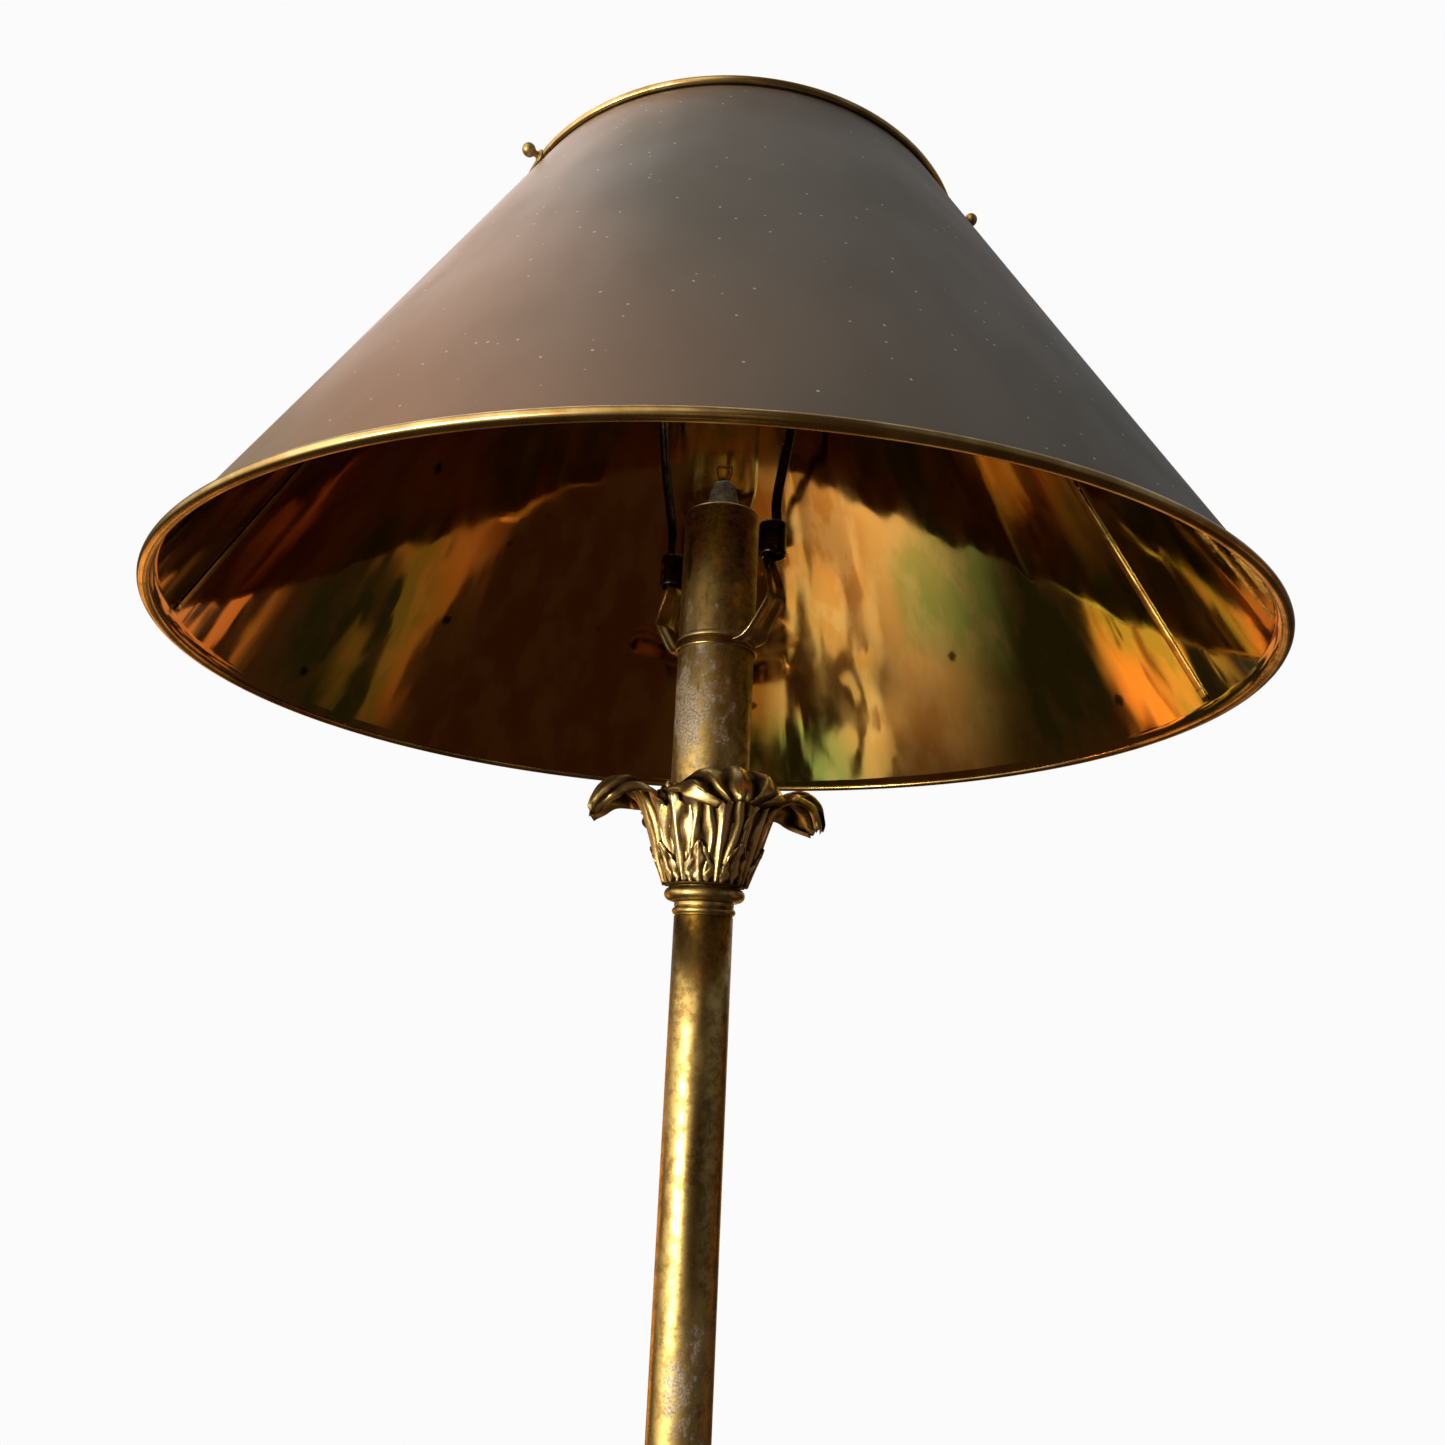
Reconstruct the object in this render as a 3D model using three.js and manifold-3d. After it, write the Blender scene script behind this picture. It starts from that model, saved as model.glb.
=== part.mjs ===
// Brass column floor lamp with a painted metal shade: a weighted round base, a plain stem, a cast
// leaf capital, a candle-style lamp holder, and a cone shade carried by a harp and a three-arm spider.
// Millimetres, +Z up, the floor at z = 0, the front of the lamp towards -Y.
import * as THREE from 'three';
import { mergeVertices } from 'three/addons/utils/BufferGeometryUtils.js';
import Module from 'manifold-3d';

const wasm = await Module();
wasm.setup();

// ---------------------------------------------------------------- driving dimensions
const gap = 0.3;                 // left between pieces that sit on or in each other
const turnGap = 0.35;            // round a piece that turns or slides
const roundSegments = 28;        // facets round a column-sized piece
const wideSegments = 54;         // facets round the base and the shade

const baseRadius = 127;
const baseEdgeHeight = 15;
const baseHeight = 38;
const baseWall = 1.6;
const feltThickness = 2.4;
const feltInset = 3;
const feltHoleRadius = 19;
const nutRecessRadius = 16;
const nutRecessDepth = 10;
const cordChannelWidth = 10.4;
const cordHoleRadius = 3.5;
const grommetBore = 2.3;
const grommetFlangeRadius = 4.3;
const grommetFlange = 1.2;

const pipeRadius = 4.85;         // threaded lamp pipe that holds the whole column together
const pipeBore = 3.4;
const pipeEnd = 5.6;             // thread left showing above the socket bushing's foot
const hexFlats = 16;             // across the flats of both pipe nuts
const baseNutHeight = 5.6;
const washerRadius = 13;
const washerThickness = 1.6;

const stemRadius = 12.7;
const tubeRadius = 17.25;        // upper tube, between the capital and the harp
const stemWall = 1.2;
const stemLength = 1052.7;
const footRadius = stemRadius + 8.3;
const footHeight = 26;
const footFloor = 5.7;
const collarRadius = stemRadius + 1;
const collarHeight = 5.7;
const spigotLength = 10;
const ringRadius = tubeRadius + 0.25;
const ringHeight = 6;

const capitalNeckRadius = tubeRadius - 0.25;
const capitalCupRadius = 27.5;
const capitalCupHeight = 45;
const capitalFloor = 12.4;       // up to the seat of the upper tube
const leafCrestRadius = 39.5;
const leafCrestHeight = 47;
const leafTipRadius = 53.5;
const leafTipHeight = 28;
const leafThickness = 3.2;
const leafCount = 4;
const leafAzimuth = -76;         // degrees, the front leaf

const tubeWall = 1.2;
const tubeLength = 94.4;
const bushingHeight = 5;

const saddleThickness = 2.2;
const saddleSkirt = 2;           // its rim comes this far down round the tube
const harpAzimuth = -43.5;         // degrees, the right-hand arm of the harp
const saddleBendRadius = 35.6;
const saddleBendHeight = 19.5;
const footStrapWidth = 13;
const tangWidth = 8;
const tangThickness = 2;
const tangHeight = 52;
const saddleNutHeight = 4;

const ferruleRadius = 6.2;
const ferruleBore = 5;
const ferruleLength = 15.5;
const ferruleDistance = 31.5;    // from the lamp's axis
const ferruleHeight = 38.8;        // its lower end, above the saddle's underside
const wireRadius = 2.3;
const harpHeight = 166.2;          // from the wires' ends to the underside of the spider's hub
const harpHalfWidth = 48.5;
const harpBossRadius = 6.5;
const harpBossThickness = 5.2;
const studRadius = 3.1;
const studLength = 20;           // above the hub's seat

const socketRise = 10.8;         // socket body's underside, above the saddle
const socketRadius = 15.4;
const socketFloor = 8.5;
const socketDepth = 29;
const sleeveRadius = socketRadius + 2;
const sleeveWall = 0.9;
const sleeveLength = 64.5;
const sleeveLipRadius = sleeveRadius + 0.7;
const sleeveLipHeight = 2;
const saddleRadius = Math.max(tubeRadius + 1.45, sleeveLipRadius + 0.6);
const shellRadius = 14.2;
const shellWall = 0.5;
const socketBushingRadius = 7.6;
const terminalDistance = 11.6;
const terminalHeadRadius = 2.6;
const keyShaftRadius = 1.7;
const keyShaftLength = 14;
const keyKnobRadius = 5.5;
const keyKnobLength = 9;

const bulbCapRadius = 13.15;
const bulbCapWall = 0.4;
const bulbCapHeight = 24;
const bulbRadius = 16;
const bulbLength = 118;
const glassWall = 0.9;

const shadeBottomRadius = 228.6;
const shadeTopRadius = 107;
const shadeHeight = 226;
const shadeWall = 1;
const rimRadius = 2.2;           // half the thickness of the rolled lower edge
const beadRadius = 1.9;          // half the thickness of the rolled upper edge
const seamWidth = 5;
const seamThickness = 0.8;
const seamMargin = 9;            // left clear at both ends of a seam strip
const seamAzimuths = { left: -166, right: 0 };

const spiderHubRadius = 11;
const spiderHubThickness = 3;
const spiderArmRadius = 2;
const spiderBossRadius = 3.2;
const spiderBossLength = 7;
const screwAzimuths = { left: -142, right: -22, rear: 98 };
const screwDrop = 6;             // screw axis below the shade's upper edge
const screwRadius = 1.7;
const screwReach = 5.4;          // thread inside the spider's boss
const screwBallRadius = 3;
const screwBallStandoff = 7.4;   // ball centre outside the shade's wall
const screwShoulderRadius = 2.8;

const finialWasherRadius = 9;
const finialWasherThickness = 1.2;
const finialBallRadius = 8;
const finialHeight = 34;

// ---------------------------------------------------------------- heights, from the floor up
const pipeClearance = pipeRadius + gap;
const baseUnderside = feltThickness + gap;
const recessCeiling = baseUnderside + nutRecessDepth;
const washerTop = recessCeiling - gap;
const baseNutTop = washerTop - washerThickness - gap;
const pipeBottom = baseNutTop - baseNutHeight - 1;
const cordHoleHeight = baseUnderside + grommetFlangeRadius + 0.2;
const footBottom = baseHeight + gap;
const stemBottom = footBottom + footFloor + gap;
const stemTop = stemBottom + stemLength;
const collarBottom = stemTop + gap;
const ringBottom = collarBottom + collarHeight + gap;
const capitalBottom = ringBottom + ringHeight + gap;
const tubeBottom = capitalBottom + capitalFloor + gap;
const tubeTop = tubeBottom + tubeLength;
const saddleBottom = tubeTop + gap;
const saddleTop = saddleBottom + saddleThickness;
const sleeveBottom = saddleTop + gap;
const sleeveTop = sleeveBottom + sleeveLength;
const socketBottom = saddleTop + socketRise;
const socketFloorTop = socketBottom + socketFloor;
const socketTop = socketFloorTop + socketDepth;
const keyHeight = socketBottom + socketFloor / 2;
const bulbBottom = socketFloorTop + 2.5;
const ferruleBottom = saddleBottom + ferruleHeight;
const wireBottom = ferruleBottom + 1;
const harpSeat = wireBottom + harpHeight;
const hubBottom = harpSeat + gap;
const hubTop = hubBottom + spiderHubThickness;
const shadeTop = hubTop - gap;
const shadeBottom = shadeTop - shadeHeight;
const screwHeight = shadeTop - screwDrop;
const finialWasherBottom = hubTop + gap;
const finialBottom = finialWasherBottom + finialWasherThickness + gap;

const shadeSlope = (shadeBottomRadius - shadeTopRadius) / shadeHeight;
const shadeWallAcross = shadeWall * Math.hypot(1, shadeSlope);
const shadeOuterAt = (z) => shadeBottomRadius - shadeSlope * (z - shadeBottom);

// How far the middle of a flat facet of a wide round wall lies inside its true radius.
const facetSag = (radius) => radius * (1 - Math.cos(Math.PI / wideSegments));

// ---------------------------------------------------------------- solid modelling helpers
const radians = (degrees) => (degrees * Math.PI) / 180;

// A manifold solid from a three.js geometry: welded, with the collapsed triangles dropped.
function solid(geometry) {
  const source = geometry.clone();
  source.deleteAttribute('normal');
  source.deleteAttribute('uv');
  const welded = mergeVertices(source, 1e-4);
  const index = welded.index.array;
  const triangles = [];
  for (let i = 0; i < index.length; i += 3) {
    const [a, b, c] = [index[i], index[i + 1], index[i + 2]];
    if (a !== b && b !== c && a !== c) {
      triangles.push(a, b, c);
    }
  }
  const mesh = new wasm.Mesh({
    numProp: 3,
    vertProperties: new Float32Array(welded.attributes.position.array),
    triVerts: new Uint32Array(triangles),
  });
  return new wasm.Manifold(mesh);
}

function geometryOf(manifold) {
  const mesh = manifold.getMesh();
  const geometry = new THREE.BufferGeometry();
  geometry.setAttribute('position', new THREE.BufferAttribute(new Float32Array(mesh.vertProperties), 3));
  geometry.setIndex(new THREE.BufferAttribute(new Uint32Array(mesh.triVerts), 1));
  geometry.computeVertexNormals();
  return geometry;
}

// A turned solid about the Z axis. The profile is a list of [radius, height] points; one that
// doesn't start and end on the axis is closed on itself.
function turned(profile, segments = roundSegments) {
  let points = profile.map(([r, z]) => new THREE.Vector2(r, z));
  const onAxis = points[0].x === 0 && points[points.length - 1].x === 0;
  if (THREE.ShapeUtils.area(points) < 0) {
    points = points.reverse();
  }
  if (!onAxis) {
    points.push(points[0].clone());
  }
  return solid(new THREE.LatheGeometry(points, segments).rotateX(Math.PI / 2));
}

const ring = (outer, inner, bottom, top, segments) => turned(
  [[inner, bottom], [outer, bottom], [outer, top], [inner, top]], segments);

const disc = (radius, bottom, top, segments) => turned(
  [[0, bottom], [radius, bottom], [radius, top], [0, top]], segments);

// A turned solid whose axis is the level line at an azimuth and height; its profile's second
// number is the distance from the lamp's axis.
function turnedRadially(profile, azimuth, height, segments = 24) {
  return turned(profile, segments).rotate([0, 90, azimuth]).translate([0, 0, height]);
}

// A smooth open outline through a few [r, z] points, as a list of points.
function smooth(points, count) {
  const curve = new THREE.SplineCurve(points.map(([r, z]) => new THREE.Vector2(r, z)));
  return curve.getPoints(count).map((p) => [p.x, p.y]);
}

// A flat outline in the radial plane (r, z), given a width across it, centred on azimuth 0.
function strap(outline, width) {
  const shape = new THREE.Shape(outline.map(([r, z]) => new THREE.Vector2(r, z)));
  const geometry = new THREE.ExtrudeGeometry(shape, { depth: width, bevelEnabled: false });
  return solid(geometry.rotateX(Math.PI / 2).translate(0, width / 2, 0));
}

function box(width, depth, height, x, y, z) {
  return solid(new THREE.BoxGeometry(width, depth, height).translate(x, y, z));
}

function rodBetween(start, end, radius, segments = 16) {
  const a = new THREE.Vector3(...start);
  const b = new THREE.Vector3(...end);
  const direction = b.clone().sub(a);
  const geometry = new THREE.CylinderGeometry(radius, radius, direction.length(), segments);
  const turn = new THREE.Quaternion().setFromUnitVectors(new THREE.Vector3(0, 1, 0), direction.normalize());
  geometry.applyQuaternion(turn);
  const middle = a.add(b).multiplyScalar(0.5);
  return solid(geometry.translate(middle.x, middle.y, middle.z));
}

function wireAlong(points, radius, steps, sides = 4) {
  const path = new THREE.CatmullRomCurve3(points.map((p) => new THREE.Vector3(...p)));
  const circle = new THREE.Shape().absarc(0, 0, radius, 0, 2 * Math.PI);
  const settings = { steps, bevelEnabled: false, extrudePath: path, curveSegments: sides };
  return solid(new THREE.ExtrudeGeometry(circle, settings));
}

function hexNut(bottom, height) {
  const geometry = new THREE.CylinderGeometry(hexFlats / Math.sqrt(3), hexFlats / Math.sqrt(3), height, 6);
  const nut = solid(geometry.rotateX(Math.PI / 2).translate(0, 0, bottom + height / 2));
  return nut.subtract(disc(pipeClearance, bottom - 1, bottom + height + 1, 32));
}

// Half-round profile points bulging outwards, for turned beads.
function bulge(radius, bottom, top, count = 5) {
  const half = (top - bottom) / 2;
  return Array.from({ length: count + 1 }, (_, i) => {
    const angle = -Math.PI / 2 + (Math.PI * i) / count;
    return [radius - half + half * Math.cos(angle), bottom + half + half * Math.sin(angle)];
  });
}

// ---------------------------------------------------------------- finishes
const finish = (color, roughness, metalness) => ({ color, roughness, metalness });
const antiqueBrass = finish(0x8a6f3c, 0.42, 1);
const castBrass = finish(0x7a5c30, 0.5, 1);
const polishedBrass = finish(0xb08a3e, 0.22, 1);
const paintedBrass = finish(0x5a544b, 0.48, 0.2);
const bareSteel = finish(0x8d8f91, 0.45, 1);
const castIron = finish(0x35363a, 0.8, 0.4);
const blackRubber = finish(0x151414, 0.7, 0);
const darkFelt = finish(0x25301f, 0.95, 0);
const blackWire = finish(0x1d1a17, 0.4, 0.6);
const phenolic = finish(0x1b1815, 0.45, 0);
const clearGlass = finish(0xdfe6e6, 0.05, 0);
const tungsten = finish(0x5f5c58, 0.4, 1);

const lamp = new THREE.Group();
lamp.name = 'column_floor_lamp';

function group(name) {
  const child = new THREE.Group();
  child.name = name;
  lamp.add(child);
  return child;
}

function add(parent, name, manifold, look) {
  const mesh = new THREE.Mesh(geometryOf(manifold), new THREE.MeshStandardMaterial(look));
  mesh.name = name;
  parent.add(mesh);
}

// ---------------------------------------------------------------- base
// The spun shell's outside, from its lower edge to the hole for the pipe.
const baseOutline = [
  [baseRadius, baseUnderside],
  [baseRadius, baseEdgeHeight - 1.4],
  [baseRadius - 1.4, baseEdgeHeight],
  [baseRadius - 8, baseEdgeHeight + 0.5],
  [baseRadius - 9.4, baseEdgeHeight + 4],
  ...smooth([
    [baseRadius - 18, baseEdgeHeight + 4.6],
    [baseRadius - 45, baseEdgeHeight + 8.5],
    [baseRadius - 75, baseHeight - 9.5],
    [footRadius + 15, baseHeight - 4],
  ], 3),
  [footRadius + 12.6, baseHeight - 3.6],
  [footRadius + 11.6, baseHeight],
];

// The same outline moved inwards and down, for what lies inside the shell.
const baseOutlineInside = (inset) => baseOutline.map(
  ([r, z], i) => [r - inset, i === 0 ? z : Math.max(z - inset, baseUnderside + 1)]);

function buildBase() {
  const base = group('base');

  const shell = turned(
    [...baseOutline, [pipeClearance, baseHeight], [pipeClearance, baseHeight - baseWall],
      ...baseOutlineInside(baseWall).reverse()], wideSegments);
  const cordHole = turnedRadially([[0, baseRadius - 12], [cordHoleRadius, baseRadius - 12],
    [cordHoleRadius, baseRadius + 5], [0, baseRadius + 5]], 90, cordHoleHeight);
  add(base, 'base_shell', shell.subtract(cordHole), antiqueBrass);

  const inset = baseWall + gap;
  const block = turned(
    [[0, baseUnderside], ...baseOutlineInside(inset), [0, baseHeight - inset]], wideSegments);
  const channel = box(cordChannelWidth, baseRadius, cordHoleHeight + cordChannelWidth / 2 - 1,
    0, baseRadius / 2, (cordHoleHeight + cordChannelWidth / 2 + 1) / 2);
  const weight = block
    .subtract(disc(pipeClearance, 0, baseHeight, 32))
    .subtract(disc(nutRecessRadius, 0, recessCeiling, 48))
    .subtract(channel);
  add(base, 'base_weight', weight, castIron);

  add(base, 'base_felt', ring(baseRadius - feltInset, feltHoleRadius, 0, feltThickness, wideSegments), darkFelt);
  add(base, 'base_washer', ring(washerRadius, pipeClearance, washerTop - washerThickness, washerTop, 40),
    bareSteel);
  add(base, 'base_nut', hexNut(baseNutTop - baseNutHeight, baseNutHeight), bareSteel);

  const sleeve = cordHoleRadius - gap;
  const inner = baseRadius - baseWall - facetSag(baseRadius) - gap;
  const outer = baseRadius + gap;
  const grommet = turnedRadially([
    [grommetBore, inner - grommetFlange], [grommetFlangeRadius, inner - grommetFlange],
    [grommetFlangeRadius, inner], [sleeve, inner], [sleeve, outer], [grommetFlangeRadius, outer],
    [grommetFlangeRadius - 0.5, outer + grommetFlange], [grommetBore, outer + grommetFlange],
  ], 90, cordHoleHeight, 20);
  add(base, 'cord_grommet', grommet, blackRubber);
}

// ---------------------------------------------------------------- column
function buildColumn() {
  const column = group('column');
  const stemSocket = stemRadius + gap;

  const foot = turned([
    [pipeClearance, footBottom], [footRadius, footBottom], [footRadius, footBottom + 2.4],
    ...smooth([[footRadius - 1.4, footBottom + 3.6], [footRadius - 4.6, footBottom + 9],
      [stemRadius + 3.1, footBottom + footHeight - 7]], 4),
    ...bulge(stemRadius + 4.4, footBottom + footHeight - 6, footBottom + footHeight - 2),
    [stemRadius + 2.2, footBottom + footHeight - 1.6], [stemRadius + 1.8, footBottom + footHeight],
    [stemSocket, footBottom + footHeight], [stemSocket, footBottom + footFloor],
    [pipeClearance, footBottom + footFloor],
  ]);
  add(column, 'stem_foot', foot, antiqueBrass);

  add(column, 'stem_tube', ring(stemRadius, stemRadius - stemWall, stemBottom, stemTop), antiqueBrass);

  const spigot = stemRadius - stemWall - gap;
  const collar = turned([
    [pipeClearance, stemTop - spigotLength], [spigot, stemTop - spigotLength], [spigot, collarBottom],
    [stemRadius, collarBottom], ...bulge(collarRadius, collarBottom + 0.4, collarBottom + 3.4),
    [collarRadius - 0.9, collarBottom + 3.8], [collarRadius - 0.9, collarBottom + collarHeight],
    [pipeClearance, collarBottom + collarHeight],
  ]);
  add(column, 'stem_collar', collar, antiqueBrass);

  const torus = turned([
    [pipeClearance, ringBottom], ...bulge(ringRadius, ringBottom, ringBottom + ringHeight, 7),
    [pipeClearance, ringBottom + ringHeight],
  ]);
  add(column, 'capital_ring', torus, castBrass);

  add(column, 'leaf_capital', leafCapital(), castBrass);

  add(column, 'upper_tube', ring(tubeRadius, tubeRadius - tubeWall, tubeBottom, tubeTop), antiqueBrass);
  const bushing = tubeRadius - tubeWall - gap;
  add(column, 'tube_bushing', ring(bushing, pipeClearance, tubeTop - bushingHeight, tubeTop, 48), antiqueBrass);

  const pipeTop = socketBottom - gap - 1.2;
  add(column, 'lamp_pipe', ring(pipeRadius, pipeBore, pipeBottom, pipeTop, 32), bareSteel);
}

// A cup turned about the axis, with a flared bell cut to four pointed leaves round its top.
function leafCapital() {
  const z = (height) => capitalBottom + height;
  const cup = turned([
    [pipeClearance, z(0)], [capitalNeckRadius, z(0)],
    ...smooth([[capitalNeckRadius + 0.6, z(3)], [capitalNeckRadius + 4.2, z(15)],
      [capitalCupRadius - 3, z(28)], [capitalCupRadius, z(40)], [capitalCupRadius + 1, z(capitalCupHeight)]], 7),
    [capitalCupRadius - 1.6, z(capitalCupHeight)],
    [capitalCupRadius - 4, z(40)], [tubeRadius + gap, z(28)], [tubeRadius + gap, z(capitalFloor)],
    [pipeClearance, z(capitalFloor)],
  ]);

  const under = smooth([
    [leafTipRadius - leafThickness / 2, z(leafTipHeight)], [leafTipRadius - 5.5, z(leafCrestHeight - 13)],
    [leafCrestRadius + 4.6, z(leafCrestHeight - 7)], [leafCrestRadius - 1.5, z(leafCrestHeight - 6)],
    [leafCrestRadius - 7.5, z(leafCrestHeight - 13)], [capitalCupRadius + 1.8, z(28)],
    [capitalNeckRadius + 5.5, z(14)],
  ], 9);
  const over = smooth([
    [capitalNeckRadius + 2.5, z(15)], [capitalCupRadius - 2, z(30)],
    [leafCrestRadius - 9.5, z(leafCrestHeight - 8)], [leafCrestRadius - 2, z(leafCrestHeight - 1)],
    [leafCrestRadius + 6, z(leafCrestHeight - 1.5)], [leafTipRadius - 2, z(leafCrestHeight - 9)],
    [leafTipRadius, z(leafTipHeight + 1)],
  ], 9);
  const bell = turned([...over, ...under], 32);

  const outline = new THREE.Shape(Array.from({ length: 64 }, (_, i) => {
    const turn = (2 * Math.PI * i) / 64;
    const across = Math.abs(Math.sin((leafCount * turn) / 2));
    const reach = 1 - across ** 2.4;
    const lobes = 1.2 * Math.cos(leafCount * 3 * turn) * across;
    const r = capitalCupRadius + (leafTipRadius + 1 - capitalCupRadius) * reach ** 0.55 + lobes;
    return new THREE.Vector2(r * Math.cos(turn), r * Math.sin(turn));
  }));
  const prism = new THREE.ExtrudeGeometry(outline, { depth: leafCrestHeight + 2, bevelEnabled: false });
  const cutter = solid(prism.translate(0, 0, capitalBottom + 1));

  return cup.add(bell.intersect(cutter)).rotate([0, 0, leafAzimuth]);
}

// ---------------------------------------------------------------- harp
function buildHarp() {
  const harp = group('harp');
  const z = (height) => saddleBottom + height;
  const plate = ring(saddleRadius, pipeClearance, saddleBottom, saddleTop)
    .add(ring(saddleRadius, tubeRadius + gap, saddleBottom - saddleSkirt, saddleBottom + 0.5));
  const tangOuter = ferruleDistance - 0.5;
  const tangInner = tangOuter - tangThickness;
  const footTop = ferruleHeight - 3;
  const foot = strap([
    [saddleRadius - 5, z(0)], [saddleRadius + 1.3, z(0)], [saddleRadius + 7, z(5)],
    [saddleBendRadius, z(saddleBendHeight)], [tangOuter + 1.6, z(footTop - 4)], [tangOuter, z(footTop)],
    [tangInner, z(footTop)], [tangInner, z(footTop - 1)], [tangOuter - 0.6, z(footTop - 5)],
    [saddleBendRadius - 2.3, z(saddleBendHeight + 0.4)], [saddleRadius + 5.6, z(6.6)],
    [saddleRadius + 0.6, z(saddleThickness)], [saddleRadius - 5, z(saddleThickness)],
  ], footStrapWidth);
  const tang = strap([
    [tangInner, z(footTop - 1)], [tangOuter, z(footTop - 1)], [tangOuter, z(tangHeight)],
    [tangInner, z(tangHeight)],
  ], tangWidth);
  const oneFoot = foot.add(tang).rotate([0, 0, harpAzimuth]);
  const saddle = plate.add(oneFoot).add(oneFoot.rotate([0, 0, 180]));
  add(harp, 'harp_saddle', saddle, polishedBrass);
  add(harp, 'saddle_nut', hexNut(saddleTop + gap, saddleNutHeight), bareSteel);

  const wireDistance = tangOuter + gap + 0.1 + wireRadius;
  const straightTop = ferruleBottom + ferruleLength + 14;
  const bossMiddle = harpSeat - harpBossThickness / 2;
  const climb = bossMiddle - straightTop;
  const arm = [
    [wireDistance, wireBottom], [wireDistance, (wireBottom + straightTop) / 2], [wireDistance, straightTop],
    [wireDistance + 7, straightTop + 0.25 * climb],
    [harpHalfWidth - 3.4, straightTop + 0.47 * climb],
    [harpHalfWidth, straightTop + 0.64 * climb],
    [harpHalfWidth - 4, straightTop + 0.83 * climb],
    [harpHalfWidth * 0.66, straightTop + 0.95 * climb],
    [harpHalfWidth * 0.3, bossMiddle - 0.6],
  ];
  const path = [
    ...arm.map(([r, height]) => [r, 0, height]),
    [0, 0, bossMiddle],
    ...arm.map(([r, height]) => [-r, 0, height]).reverse(),
  ];
  const boss = disc(harpBossRadius, harpSeat - harpBossThickness, harpSeat, 32);
  const bow = wireAlong(path, wireRadius, 38)
    .add(boss)
    .subtract(disc(studRadius + gap, harpSeat - 8, harpSeat + 1, 24))
    .rotate([0, 0, harpAzimuth]);
  add(harp, 'harp_bow', bow, blackWire);

  const studHead = harpSeat - harpBossThickness - gap;
  const stud = turned([
    [0, studHead - 1.8], [3.6, studHead - 1.6], [5, studHead - 0.8], [5, studHead], [studRadius, studHead],
    [studRadius, harpSeat + studLength - 0.6], [studRadius - 0.6, harpSeat + studLength],
    [0, harpSeat + studLength],
  ], 24);
  add(harp, 'harp_stud', stud, polishedBrass);

  const ferrule = ring(ferruleRadius, ferruleBore, ferruleBottom, ferruleBottom + ferruleLength, 32)
    .translate([ferruleDistance, 0, 0]);
  add(harp, 'harp_ferrule_right', ferrule.rotate([0, 0, harpAzimuth]), blackWire);
  add(harp, 'harp_ferrule_left', ferrule.rotate([0, 0, harpAzimuth + 180]), blackWire);
}

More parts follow.
